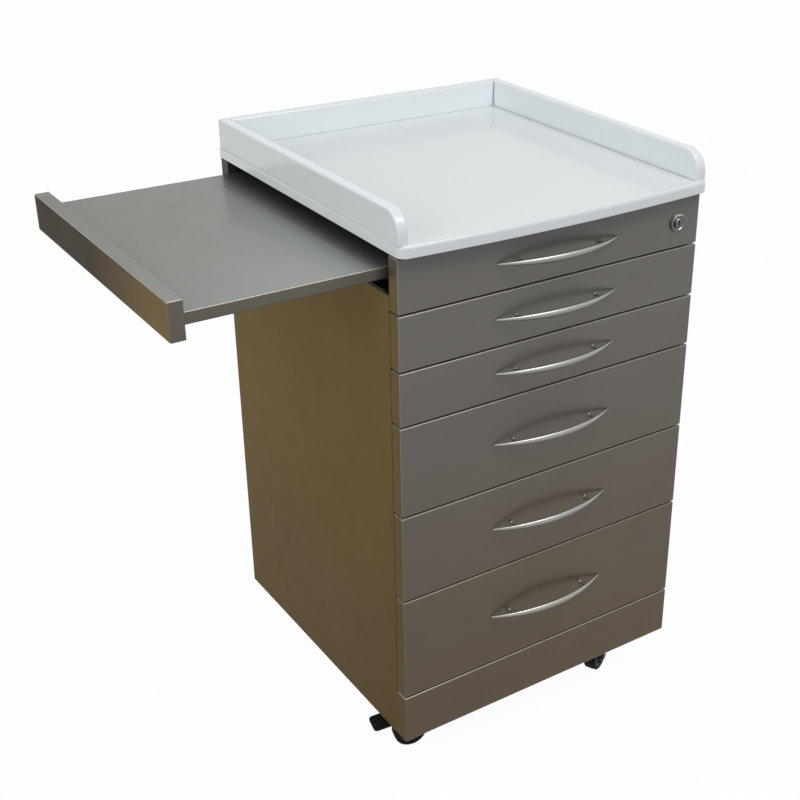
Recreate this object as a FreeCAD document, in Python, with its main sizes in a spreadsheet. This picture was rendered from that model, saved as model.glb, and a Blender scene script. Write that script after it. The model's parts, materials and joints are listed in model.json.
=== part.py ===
import FreeCAD, Part
import os
import Sketcher
from types import SimpleNamespace
from FreeCAD import Placement, Rotation, Vector

# A mobile dental cabinet: a sheet-steel carcass on four castors, six drawers on ball runners,
# a pull-out shelf through the left side and a white worktop with a three-sided gallery.
# X runs along the front to the right, Y to the back and Z up. The origin is on the floor under
# the middle of the carcass. The shelf is modelled pulled out and the drawers closed.

os.makedirs("parts", exist_ok=True)
doc = FreeCAD.newDocument("DentalCabinet")

SIZES = {
    # carcass
    "cabinet_width": 480.0,
    "cabinet_depth": 487.0,
    "castor_height": 72.5,
    "plinth_height": 75.8,
    "panel_depth": 15.0,
    "sheet_steel": 1.2,
    "base_steel": 2.0,
    "upright_width": 30.0,
    "upright_inset": 10.0,
    "rear_post_width": 20.0,
    "frame_plate": 4.0,
    "frame_rail_width": 30.0,
    # drawer fronts, from the plinth up
    "deep_front": 158.3,
    "medium_front": 129.3,
    "shallow_front": 73.8,
    "top_front": 71.5,
    "front_gap": 2.2,
    "top_gap": 2.5,
    "front_thickness": 20.0,
    "front_skin": 1.5,
    "front_radius": 2.0,
    "buffer_gap": 1.5,
    "cover_clearance": 0.2,
    # drawer boxes and their runners
    "box_sheet": 1.2,
    "box_length": 430.0,
    "box_lift": 6.0,
    "deep_box": 130.0,
    "medium_box": 100.0,
    "shallow_box": 50.0,
    "tray_box_lift": 2.0,
    "tray_box_clearance": 1.5,
    "runner_depth": 13.0,
    "runner_height": 35.0,
    "slim_runner_height": 15.0,
    "runner_sheet": 1.5,
    "runner_play": 0.5,
    "runner_lift": 7.5,
    "slim_runner_lift": 1.2,
    "runner_length": 420.0,
    "runner_setback": 3.0,
    # bow handles
    "handle_length": 194.0,
    "handle_pitch": 128.0,
    "handle_reach": 24.0,
    "handle_height": 10.0,
    "handle_thickness": 6.5,
    "handle_lift": 1.1,
    "handle_tip_height": 2.4,
    "handle_tip_thickness": 1.2,
    "handle_tip_gap": 0.6,
    "post_radius": 3.0,
    "screw_radius": 2.0,
    "screw_head_radius": 3.8,
    "screw_head_height": 2.4,
    "screw_clearance": 0.2,
    "screw_grip": 8.0,
    "screw_edge": 5.5,
    # lock
    "lock_from_side": 39.0,
    "lock_rosette_radius": 13.0,
    "lock_rosette_height": 4.0,
    "lock_barrel_radius": 9.0,
    "lock_barrel_length": 28.0,
    "lock_plug_radius": 6.5,
    "lock_plug_proud": 0.8,
    "lock_play": 0.05,
    "lock_nut_height": 5.0,
    "lock_nut_width": 22.0,
    "lock_stub": 5.0,
    "lock_stub_radius": 3.5,
    "key_slot_width": 1.8,
    "key_slot_height": 8.0,
    "key_slot_depth": 10.0,
    "cam_length": 24.0,
    "cam_width": 12.0,
    "cam_thickness": 2.0,
    "cam_gap": 0.4,
    "cam_play": 3.0,
    "catch_width": 20.0,
    "catch_drop": 20.0,
    "catch_sheet": 2.0,
    "catch_tab": 14.0,
    # pull-out shelf
    "shelf_out": 276.0,
    "deck_length": 391.0,
    "deck_thickness": 16.0,
    "deck_skin": 1.5,
    "deck_front_gap": 2.5,
    "deck_rear_gap": 5.0,
    "end_board_height": 49.5,
    "end_board_thickness": 19.0,
    "end_board_top_gap": 1.5,
    "end_board_bottom_gap": 3.0,
    "end_board_side_gap": 0.5,
    "shelf_rail_height": 7.5,
    "shelf_rail_tongue": 2.0,
    "shelf_rail_width": 64.0,
    "shelf_runner_width": 35.0,
    "shelf_runner_length": 385.0,
    "shelf_runner_setback": 3.0,
    # worktop tray
    "slab_thickness": 16.0,
    "slab_front_overhang": 9.5,
    "slab_front_bow": 10.0,
    "slab_left_overhang": 1.5,
    "slab_right_overhang": 5.0,
    "slab_corner_radius": 12.0,
    "slab_edge_radius": 4.5,
    "slab_lower_radius": 1.0,
    "gallery_height": 40.0,
    "gallery_thickness": 15.0,
    "gallery_left_inset": 0.5,
    "gallery_right_inset": 3.0,
    "gallery_front_inset": 4.0,
    "gallery_nose_radius": 30.0,
    "gallery_edge_radius": 3.0,
    # castors
    "castor_side_inset": 69.5,
    "castor_front_inset": 67.0,
    "castor_plate": 46.0,
    "castor_plate_thickness": 2.5,
    "raceway_radius": 19.0,
    "raceway_height": 4.5,
    "kingpin_radius": 4.0,
    "kingpin_head_radius": 7.0,
    "kingpin_head_height": 3.0,
    "swivel_play": 0.4,
    "pin_play": 0.05,
    "crown_radius": 19.0,
    "crown_thickness": 3.0,
    "fork_sheet": 2.0,
    "fork_leg_front": 34.0,
    "fork_leg_rear": 8.0,
    "castor_offset": 22.0,
    "wheel_radius": 25.0,
    "wheel_width": 20.0,
    "wheel_play": 1.0,
    "wheel_rim_radius": 18.0,
    "wheel_recess": 3.0,
    "hub_gap": 0.3,
    "tyre_radius": 2.5,
    "axle_radius": 4.0,
    "axle_boss_radius": 8.0,
    "axle_head_radius": 6.0,
    "axle_head_height": 3.0,
    "pedal_width": 32.0,
    "pedal_reach": 80.0,
    "pedal_sheet": 3.0,
    "pedal_corner_radius": 6.0,
    "pedal_knee_drop": 0.5,
    "pedal_tip_drop": 3.5,
    "pedal_wheel_gap": 1.5,
    "pedal_shoe_ahead": 12.0,
    "pedal_eye_radius": 3.5,
    "pedal_pin_radius": 1.5,
    "pedal_pin_ahead": 4.0,
    "pedal_pin_drop": 7.6,
}

sheet = doc.addObject("Spreadsheet::Sheet", "Sizes")
for row, (alias, value) in enumerate(SIZES.items(), start=1):
    sheet.set(f"A{row}", alias)
    sheet.set(f"B{row}", str(value))
    sheet.setAlias(f"B{row}", alias)
doc.recompute()

parts = []


class Length:
    """A sum on the spreadsheet's cells, kept both as expression text and as its value."""

    def __init__(self, text, value):
        self.text = text
        self.value = value

    def _with(self, other, sign, reflected=False):
        a, b = self, other if isinstance(other, Length) else Length(repr(float(other)), float(other))
        if reflected:
            a, b = b, a
        results = {
            "+": lambda: a.value + b.value,
            "-": lambda: a.value - b.value,
            "*": lambda: a.value * b.value,
            "/": lambda: a.value / b.value,
        }
        return Length(f"({a.text} {sign} {b.text})", results[sign]())

    def __add__(self, other):
        return self._with(other, "+")

    def __radd__(self, other):
        return self._with(other, "+", True)

    def __sub__(self, other):
        return self._with(other, "-")

    def __rsub__(self, other):
        return self._with(other, "-", True)

    def __mul__(self, other):
        return self._with(other, "*")

    def __rmul__(self, other):
        return self._with(other, "*", True)

    def __truediv__(self, other):
        return self._with(other, "/")

    def __neg__(self):
        return Length(f"(-1 * {self.text})", -self.value)


ZERO = Length("0", 0.0)
s = SimpleNamespace(**{alias: Length("Sizes." + alias, value) for alias, value in SIZES.items()})


def length(value):
    return value if isinstance(value, Length) else ZERO + value


def bind(thing, prop, value):
    """Sets a property to a length, as an expression on the spreadsheet."""
    thing.setExpression(prop, length(value).text)


def place(thing, x, y, z, rotation=None):
    """Puts a thing at a point given as lengths, turned by a fixed rotation."""
    if rotation is not None:
        thing.Placement = Placement(Vector(), rotation)
    for axis, value in zip("xyz", (x, y, z)):
        bind(thing, f"Placement.Base.{axis}", value)


def finished(thing, label):
    """Names a sub-part, whose label is also its file name."""
    thing.Label = label
    parts.append(thing)
    return thing


# ---------- Part primitives and booleans ----------

def block(x, y, z, x_size, y_size, z_size, name="Block"):
    thing = doc.addObject("Part::Box", name)
    bind(thing, "Length", x_size)
    bind(thing, "Width", y_size)
    bind(thing, "Height", z_size)
    place(thing, x, y, z)
    return thing


def rod(x, y, z, radius, run, direction="Z", name="Rod"):
    """A cylinder from a point along +X, +Y or +Z."""
    turns = {
        "X": Rotation(Vector(0, 1, 0), 90),
        "Y": Rotation(Vector(1, 0, 0), -90),
        "Z": Rotation(),
    }
    thing = doc.addObject("Part::Cylinder", name)
    bind(thing, "Radius", radius)
    bind(thing, "Height", run)
    place(thing, x, y, z, turns[direction])
    return thing


def joined(things, name="Joined"):
    if len(things) == 1:
        return things[0]
    thing = doc.addObject("Part::MultiFuse", name)
    thing.Shapes = things
    return thing


def less(base, tools, name="Less"):
    thing = doc.addObject("Part::Cut", name)
    thing.Base = base
    thing.Tool = joined(tools)
    return thing


def group(things, name="Group"):
    """Several separate solids in one sub-part."""
    thing = doc.addObject("Part::Compound", name)
    thing.Links = things
    return thing


# ---------- PartDesign bodies ----------

PLANES = {
    # sketch x, sketch y and sketch normal as functions of a point's X, Y and Z
    "XY_Plane": lambda x, y, z: (x, y, z),
    "XZ_Plane": lambda x, y, z: (x, z, -length(y)),
    "YZ_Plane": lambda x, y, z: (y, z, x),
}


def body(name):
    return doc.addObject("PartDesign::Body", name)


def sketch_on(owner, role, corner):
    """An empty sketch on one of the body's origin planes, with its own origin at a point."""
    sketch = owner.newObject("Sketcher::SketchObject", "Sketch")
    plane = [f for f in owner.Origin.OriginFeatures if f.Role == role][0]
    sketch.AttachmentSupport = [(plane, "")]
    sketch.MapMode = "FlatFace"
    for axis, value in zip("xyz", PLANES[role](*corner)):
        bind(sketch, f"AttachmentOffset.Base.{axis}", value)
    return sketch


def pinned(sketch, kind, geometry, point, value, label):
    """Holds one coordinate of a sketch point at a length from the sketch's origin."""
    index = sketch.addConstraint(
        Sketcher.Constraint("Distance" + kind, -1, 1, geometry, point, length(value).value)
    )
    sketch.renameConstraint(index, label)
    bind(sketch, "Constraints." + label, value)


def polygon(owner, role, corner, points):
    """A closed outline of straight lines through points given as lengths."""
    sketch = sketch_on(owner, role, corner)
    spots = [Vector(length(u).value, length(v).value, 0) for u, v in points]
    count = len(points)
    for i in range(count):
        sketch.addGeometry(Part.LineSegment(spots[i], spots[(i + 1) % count]), False)
    for i, (u, v) in enumerate(points):
        sketch.addConstraint(Sketcher.Constraint("Coincident", i, 2, (i + 1) % count, 1))
        pinned(sketch, "X", i, 1, u, f"corner_{i}_x")
        pinned(sketch, "Y", i, 1, v, f"corner_{i}_y")
    return sketch


def rectangle(owner, role, corner, width, height):
    return polygon(owner, role, corner, [(0, 0), (width, 0), (width, height), (0, height)])


def bowed_rectangle(owner, role, corner, width, depth, bow):
    """A rectangle whose near side is an arc that bulges outwards in its middle."""
    sketch = sketch_on(owner, role, corner)
    points = [(width, ZERO), (width, depth), (ZERO, depth), (ZERO, ZERO)]
    spots = [Vector(length(u).value, length(v).value, 0) for u, v in points]
    count = len(points)
    for start, end in zip(spots, spots[1:]):
        sketch.addGeometry(Part.LineSegment(start, end), False)
    middle = Vector(length(width).value / 2, -length(bow).value, 0)
    sketch.addGeometry(Part.ArcOfCircle(spots[-1], middle, spots[0]), False)
    for i, (u, v) in enumerate(points):
        sketch.addConstraint(Sketcher.Constraint("Coincident", i, 2, (i + 1) % count, 1))
        pinned(sketch, "X", i, 1, u, f"corner_{i}_x")
        pinned(sketch, "Y", i, 1, v, f"corner_{i}_y")
    radius = (width * width / 4 + bow * bow) / (2 * bow)
    index = sketch.addConstraint(Sketcher.Constraint("Radius", count - 1, radius.value))
    sketch.renameConstraint(index, "radius")
    bind(sketch, "Constraints.radius", radius)
    return sketch


def circle(owner, role, centre, radius):
    sketch = sketch_on(owner, role, centre)
    sketch.addGeometry(Part.Circle(Vector(), Vector(0, 0, 1), length(radius).value), False)
    sketch.addConstraint(Sketcher.Constraint("Coincident", 0, 3, -1, 1))
    index = sketch.addConstraint(Sketcher.Constraint("Radius", 0, length(radius).value))
    sketch.renameConstraint(index, "radius")
    bind(sketch, "Constraints.radius", radius)
    return sketch


def feature(owner, kind, profile, depth, backwards=False, midplane=False):
    """A pad or pocket of a sketch. backwards turns it from the sketch's normal to the other side."""
    made = owner.newObject("PartDesign::" + kind, kind)
    made.Profile = profile
    made.Midplane = midplane
    made.Reversed = backwards
    bind(made, "Length", depth)
    return made


def turned(owner, profile):
    """A full revolution of a sketch about its own vertical axis."""
    made = owner.newObject("PartDesign::Revolution", "Revolution")
    made.Profile = profile
    made.ReferenceAxis = (profile, ["V_Axis"])
    made.Angle = 360.0
    return made


def rounded(owner, base, radius, wanted):
    """A fillet on the edges of a feature whose ends pass a test."""
    doc.recompute()
    names = []
    for i, edge in enumerate(base.Shape.Edges, start=1):
        box = edge.BoundBox
        if wanted(box):
            names.append(f"Edge{i}")
    made = owner.newObject("PartDesign::Fillet", "Fillet")
    made.Base = (base, names)
    bind(made, "Radius", radius)
    return made


def near(a, b):
    return abs(a - b) < 1e-4


def along(box, axis):
    """True for an edge parallel to the axis."""
    spans = {"X": box.XLength, "Y": box.YLength, "Z": box.ZLength}
    return spans[axis] > 1e-3 and all(span < 1e-3 for name, span in spans.items() if name != axis)


# ---------- levels and planes shared by the pieces ----------

half_width = s.cabinet_width / 2
front = -s.cabinet_depth / 2
rear = s.cabinet_depth / 2
inner_half = half_width - s.panel_depth
panel_front = front + s.front_thickness + s.buffer_gap
back_front = rear - s.panel_depth
base = s.castor_height

# drawer 6 is the lowest and drawer 1 the highest
LEVELS = {}
level = base + s.plinth_height + s.front_gap
for drawer, tall in (
    (6, s.deep_front),
    (5, s.medium_front),
    (4, s.medium_front),
    (3, s.shallow_front),
    (2, s.shallow_front),
    (1, s.top_front),
):
    LEVELS[drawer] = (level, tall)
    level = level + tall + s.front_gap
carcass_top = level - s.front_gap + s.top_gap
bay_bottom = carcass_top - s.end_board_top_gap - s.end_board_height - s.end_board_bottom_gap
slab_top = carcass_top + s.slab_thickness


# ---------- carcass ----------

def side_pan(x, open_x, top):
    """A folded side panel, open towards the inside, up to a given height."""
    outer = block(x, panel_front, base, s.panel_depth, rear - panel_front, top - base)
    hollow = block(
        open_x,
        panel_front + s.sheet_steel,
        base + s.sheet_steel,
        s.panel_depth - s.sheet_steel,
        rear - panel_front - 2 * s.sheet_steel,
        top - base - 2 * s.sheet_steel,
    )
    return less(outer, [hollow])


def side_panels():
    left = side_pan(-half_width, s.sheet_steel - half_width, bay_bottom)
    post = block(
        -half_width,
        rear - s.rear_post_width,
        bay_bottom,
        s.panel_depth,
        s.rear_post_width,
        carcass_top - bay_bottom,
    )
    post_hollow = block(
        s.sheet_steel - half_width,
        rear - s.rear_post_width + s.sheet_steel,
        bay_bottom,
        s.panel_depth - 2 * s.sheet_steel,
        s.rear_post_width - 2 * s.sheet_steel,
        carcass_top - bay_bottom - s.sheet_steel,
    )
    finished(joined([left, less(post, [post_hollow])]), "side_panel_left")
    finished(side_pan(inner_half, inner_half, carcass_top), "side_panel_right")


def pan_up(x, y, z, x_size, y_size, z_size, wall):
    """A sheet pan that is open at the top."""
    outer = block(x, y, z, x_size, y_size, z_size)
    hollow = block(x + wall, y + wall, z + wall, x_size - 2 * wall, y_size - 2 * wall, z_size)
    return less(outer, [hollow])


def back_and_base():
    width = 2 * inner_half
    outer = block(-inner_half, back_front, base, width, s.panel_depth, carcass_top - base)
    hollow = block(
        s.sheet_steel - inner_half,
        back_front - s.sheet_steel,
        base + s.sheet_steel,
        width - 2 * s.sheet_steel,
        s.panel_depth,
        carcass_top - base - 2 * s.sheet_steel,
    )
    finished(less(outer, [hollow]), "back_panel")
    base_pan = pan_up(
        -inner_half,
        panel_front,
        base,
        width,
        back_front - panel_front,
        s.panel_depth,
        s.base_steel,
    )
    finished(base_pan, "base_pan")


def folded_front(name, z, tall, deep):
    """A front pan with rounded face edges, open at the back, as a PartDesign body."""
    owner = body(name)
    outline = rectangle(owner, "XZ_Plane", (-half_width, front, z), s.cabinet_width, tall)
    pad = feature(owner, "Pad", outline, deep, backwards=True)
    rounded(
        owner,
        pad,
        s.front_radius,
        lambda box: near(box.YMin, front.value) and (near(box.YMax, front.value) or along(box, "Y")),
    )
    hollow = rectangle(
        owner,
        "XZ_Plane",
        (s.front_skin - half_width, front + deep, z + s.front_skin),
        s.cabinet_width - 2 * s.front_skin,
        tall - 2 * s.front_skin,
    )
    feature(owner, "Pocket", hollow, deep - s.front_skin, backwards=True)
    return owner


def plinth():
    deep = s.front_thickness + s.buffer_gap
    finished(folded_front("Plinth", base, s.plinth_height, deep), "plinth_panel")


frame_left = s.end_board_thickness + s.buffer_gap - half_width
frame_front = panel_front + s.deck_front_gap


def top_frame():
    """A flat ring under the worktop, clear of the shelf's end board on the left."""
    outer = block(
        frame_left,
        frame_front,
        carcass_top - s.frame_plate,
        inner_half - frame_left,
        back_front - frame_front,
        s.frame_plate,
    )
    hole = block(
        frame_left + s.frame_rail_width,
        frame_front + s.frame_rail_width,
        carcass_top - 2 * s.frame_plate,
        inner_half - frame_left - 2 * s.frame_rail_width,
        back_front - frame_front - 2 * s.frame_rail_width,
        3 * s.frame_plate,
    )
    finished(less(outer, [hole]), "top_frame")


upright_depth = s.panel_depth - s.sheet_steel
upright_front = panel_front + s.sheet_steel + s.upright_inset
upright_rear = back_front - s.upright_inset - s.upright_width


def uprights():
    """Four channels inside the side panels that the drawer runners are screwed to."""
    made = []
    floor = base + s.panel_depth
    for x, open_x, top in (
        (s.sheet_steel - half_width, -half_width, bay_bottom),
        (inner_half, inner_half + s.sheet_steel, carcass_top),
    ):
        for y in (upright_front, upright_rear):
            tall = top - s.sheet_steel - floor
            outer = block(x, y, floor, upright_depth, s.upright_width, tall)
            hollow = block(
                open_x,
                y + s.sheet_steel,
                floor - s.sheet_steel,
                upright_depth,
                s.upright_width - 2 * s.sheet_steel,
                tall + 2 * s.sheet_steel,
            )
            made.append(less(outer, [hollow]))
    finished(group(made), "runner_uprights")


# ---------- drawer runners ----------

runner_start = front + s.front_thickness + s.runner_setback
runner_nest = s.runner_sheet + s.runner_play
runner_flange = s.runner_depth - runner_nest


def runner_spot(drawer):
    """Bottom and height of the runners of a drawer."""
    z, _ = LEVELS[drawer]
    if drawer == 1:
        return z + s.tray_box_lift + s.slim_runner_lift, s.slim_runner_height
    return z + s.box_lift + s.runner_lift, s.runner_height


def channel(x, z, tall, opens):
    """A runner member along Y: an upright web and two flanges, open towards +X or -X."""
    outer = block(x, runner_start, z, runner_flange, s.runner_length, tall)
    hollow = block(
        x + opens * s.runner_sheet,
        runner_start - s.runner_sheet,
        z + s.runner_sheet,
        runner_flange,
        s.runner_length + 2 * s.runner_sheet,
        tall - 2 * s.runner_sheet,
    )
    return less(outer, [hollow])


def fixed_runners(drawer):
    z, tall = runner_spot(drawer)
    return [
        channel(-inner_half, z, tall, 1),
        channel(inner_half - runner_flange, z, tall, -1),
    ]


def moving_runners(drawer):
    """The members on the drawer's sides, nested inside the fixed ones."""
    z, tall = runner_spot(drawer)
    nested_tall = tall - 2 * runner_nest
    return [
        channel(runner_nest - inner_half, z + runner_nest, nested_tall, -1),
        channel(inner_half - s.runner_depth, z + runner_nest, nested_tall, 1),
    ]


# ---------- drawers ----------

box_half = inner_half - s.runner_depth
cover_back = front + s.front_thickness
lock_x = half_width - s.lock_from_side
lock_z = LEVELS[1][0] + LEVELS[1][1] / 2


def box_spot(drawer):
    """Bottom and height of a drawer's box. The top drawer is a tray under the shelf's bay."""
    z, _ = LEVELS[drawer]
    if drawer == 1:
        floor = z + s.tray_box_lift
        return floor, bay_bottom - s.tray_box_clearance - floor
    heights = {2: s.shallow_box, 3: s.shallow_box, 4: s.medium_box, 5: s.medium_box, 6: s.deep_box}
    return z + s.box_lift, heights[drawer]


def handle_middle(drawer):
    z, tall = LEVELS[drawer]
    return z + tall / 2 + s.handle_lift


def drawer_front(drawer):
    z, tall = LEVELS[drawer]
    owner = folded_front(f"Front{drawer}", z, tall, s.front_thickness)
    for side in (-1, 1):
        spot = (side * s.handle_pitch / 2, front, handle_middle(drawer))
        hole = circle(owner, "XZ_Plane", spot, s.screw_radius + s.screw_clearance)
        feature(owner, "Pocket", hole, 2 * s.front_skin)
    if drawer == 1:
        bore = circle(owner, "XZ_Plane", (lock_x, front, lock_z), s.lock_barrel_radius)
        feature(owner, "Pocket", bore, 2 * s.front_skin)
    finished(owner, f"drawer_{drawer}_front")


def drawer_box(drawer):
    """Sheets welded edge to edge. The front one also closes the back of the front pan."""
    z, tall = LEVELS[drawer]
    floor, box_tall = box_spot(drawer)
    inset = s.front_skin + s.cover_clearance
    owner = body(f"BoxFront{drawer}")
    plate = rectangle(
        owner,
        "XZ_Plane",
        (inset - half_width, cover_back, z + inset),
        s.cabinet_width - 2 * inset,
        tall - 2 * inset,
    )
    feature(owner, "Pad", plate, s.box_sheet)
    if drawer == 1:
        bore = circle(owner, "XZ_Plane", (lock_x, cover_back, lock_z), s.lock_barrel_radius)
        feature(owner, "Pocket", bore, 4 * s.box_sheet, midplane=True)
    between = s.box_sheet - box_half
    between_width = 2 * (box_half - s.box_sheet)
    side_length = s.box_length - s.box_sheet
    back = cover_back + side_length - s.box_sheet
    sheets = [
        block(between, cover_back, floor, between_width, side_length - s.box_sheet, s.box_sheet, "BoxFloor"),
        block(between, back, floor, between_width, s.box_sheet, box_tall, "BoxBack"),
    ]
    for x in (-box_half, box_half - s.box_sheet):
        sheets.append(block(x, cover_back, floor, s.box_sheet, side_length, box_tall, "BoxSide"))
    finished(group([owner] + sheets), f"drawer_{drawer}_box")


def bow_height(x):
    """Distance of the bow's centreline from the drawer front, along a circular arc."""
    half = s.handle_length.value / 2
    tip = s.handle_tip_gap.value + s.handle_tip_thickness.value / 2
    rise = s.handle_reach.value - tip
    arc = (half ** 2 + rise ** 2) / (2 * rise)
    return s.handle_reach.value - arc + (arc ** 2 - x ** 2) ** 0.5


def bow_shape():
    """A bow of elliptical sections, thickest in the middle and slim at both tips."""
    half = s.handle_length.value / 2
    sections = []
    for share in (-1.0, -0.85, -0.6, -0.3, 0.0, 0.3, 0.6, 0.85, 1.0):
        swell = 1 - share ** 2
        tip_tall, tall = s.handle_tip_height.value, s.handle_height.value
        tip_thick, thick = s.handle_tip_thickness.value, s.handle_thickness.value
        centre = Vector(share * half, -bow_height(share * half), 0)
        top = centre + Vector(0, 0, (tip_tall + (tall - tip_tall) * swell) / 2)
        back = centre + Vector(0, (tip_thick + (thick - tip_thick) * swell) / 2, 0)
        sections.append(Part.Wire([Part.Ellipse(top, back, centre).toShape()]))
    return Part.makeLoft(sections, True, False)


def handle(drawer, shape):
    """A bow on two posts, and the two screws that hold it from inside the front pan."""
    middle = handle_middle(drawer)
    post_reach = bow_height(s.handle_pitch.value / 2)
    bow = doc.addObject("Part::Feature", f"Bow{drawer}")
    bow.Shape = shape
    place(bow, 0, front, middle)
    posts = []
    screws = []
    for side in (-1, 1):
        x = side * s.handle_pitch / 2
        posts.append(rod(x, front - post_reach, middle, s.post_radius, post_reach, "Y", "Post"))
        head_y = front + s.front_skin
        shank = rod(
            x, front - s.screw_grip, middle, s.screw_radius, s.screw_grip + s.front_skin, "Y", "Shank"
        )
        head = rod(x, head_y, middle, s.screw_head_radius, s.screw_head_height, "Y", "ScrewHead")
        screws.append(joined([shank, head], "Screw"))
    grips = [
        rod(side * s.handle_pitch / 2, front - s.screw_grip, middle, s.screw_radius, s.screw_grip, "Y")
        for side in (-1, 1)
    ]
    finished(group([less(joined([bow] + posts), grips)] + screws), f"drawer_{drawer}_handle")


def drawers():
    shape = bow_shape()
    fixed = []
    for drawer in range(1, 7):
        drawer_front(drawer)
        drawer_box(drawer)
        handle(drawer, shape)
        finished(group(moving_runners(drawer)), f"drawer_{drawer}_runners")
        fixed += fixed_runners(drawer)
    finished(group(fixed), "drawer_runners_fixed")


# ---------- lock ----------

def lock():
    """A cam lock in the top drawer's front. Its cam turns up behind a catch on the top frame."""
    barrel_end = front + s.lock_barrel_length
    rosette_face = front - s.lock_rosette_height
    owner = body("LockHousing")
    barrel = circle(owner, "XZ_Plane", (lock_x, barrel_end, lock_z), s.lock_barrel_radius)
    feature(owner, "Pad", barrel, s.lock_barrel_length)
    rosette = circle(owner, "XZ_Plane", (lock_x, front, lock_z), s.lock_rosette_radius)
    pad = feature(owner, "Pad", rosette, s.lock_rosette_height)
    rounded(
        owner,
        pad,
        s.lock_rosette_height / 2,
        lambda box: near(box.YMin, rosette_face.value) and near(box.YLength, 0),
    )
    bore = circle(owner, "XZ_Plane", (lock_x, rosette_face, lock_z), s.lock_plug_radius + s.lock_play)
    feature(owner, "Pocket", bore, s.lock_rosette_height + s.lock_barrel_length)
    finished(owner, "lock_housing")

    nut = doc.addObject("Part::Prism", "NutBlank")
    nut.Polygon = 6
    bind(nut, "Circumradius", s.lock_nut_width / 3 ** 0.5)
    bind(nut, "Height", s.lock_nut_height)
    place(nut, lock_x, cover_back, lock_z, Rotation(Vector(1, 0, 0), -90))
    hole = rod(lock_x, front, lock_z, s.lock_barrel_radius, s.lock_barrel_length, "Y")
    finished(less(nut, [hole]), "lock_nut")

    plug_face = rosette_face - s.lock_plug_proud
    cam_y = barrel_end + s.cam_gap
    core = rod(lock_x, plug_face, lock_z, s.lock_plug_radius, cam_y - plug_face, "Y")
    stub = rod(lock_x, cam_y, lock_z, s.lock_stub_radius, s.lock_stub, "Y")
    slot = block(
        lock_x - s.key_slot_width / 2,
        plug_face - s.lock_plug_proud,
        lock_z - s.key_slot_height / 2,
        s.key_slot_width,
        s.key_slot_depth + s.lock_plug_proud,
        s.key_slot_height,
    )
    finished(less(joined([core, stub]), [slot]), "lock_plug")

    strip = block(
        lock_x - s.cam_length,
        cam_y,
        lock_z - s.cam_width / 2,
        s.cam_length,
        s.cam_thickness,
        s.cam_width,
    )
    eye = rod(lock_x, cam_y, lock_z, s.cam_width / 2, s.cam_thickness, "Y")
    hole = rod(lock_x, cam_y - s.cam_gap, lock_z, s.lock_stub_radius, s.cam_thickness + 2 * s.cam_gap, "Y")
    finished(less(joined([strip, eye]), [hole]), "lock_cam")

    frame_bottom = carcass_top - s.frame_plate
    catch_x = lock_x - s.catch_width / 2
    catch_y = cam_y - s.cam_play - s.catch_sheet
    leaf = block(
        catch_x, catch_y, frame_bottom - s.catch_drop, s.catch_width, s.catch_sheet, s.catch_drop
    )
    tab = block(
        catch_x, catch_y, frame_bottom - s.catch_sheet, s.catch_width, s.catch_tab, s.catch_sheet
    )
    finished(joined([leaf, tab]), "lock_catch")


# ---------- pull-out shelf ----------

def flat_channel(x, middle, z, wide, opens):
    """A shelf runner member along X that lies flat, open upwards or downwards."""
    outer = block(x, middle - wide / 2, z, s.shelf_runner_length, wide, runner_flange)
    hollow = block(
        x - s.runner_sheet,
        middle - wide / 2 + s.runner_sheet,
        z + opens * s.runner_sheet,
        s.shelf_runner_length + 2 * s.runner_sheet,
        wide - 2 * s.runner_sheet,
        runner_flange,
    )
    return less(outer, [hollow])


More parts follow.
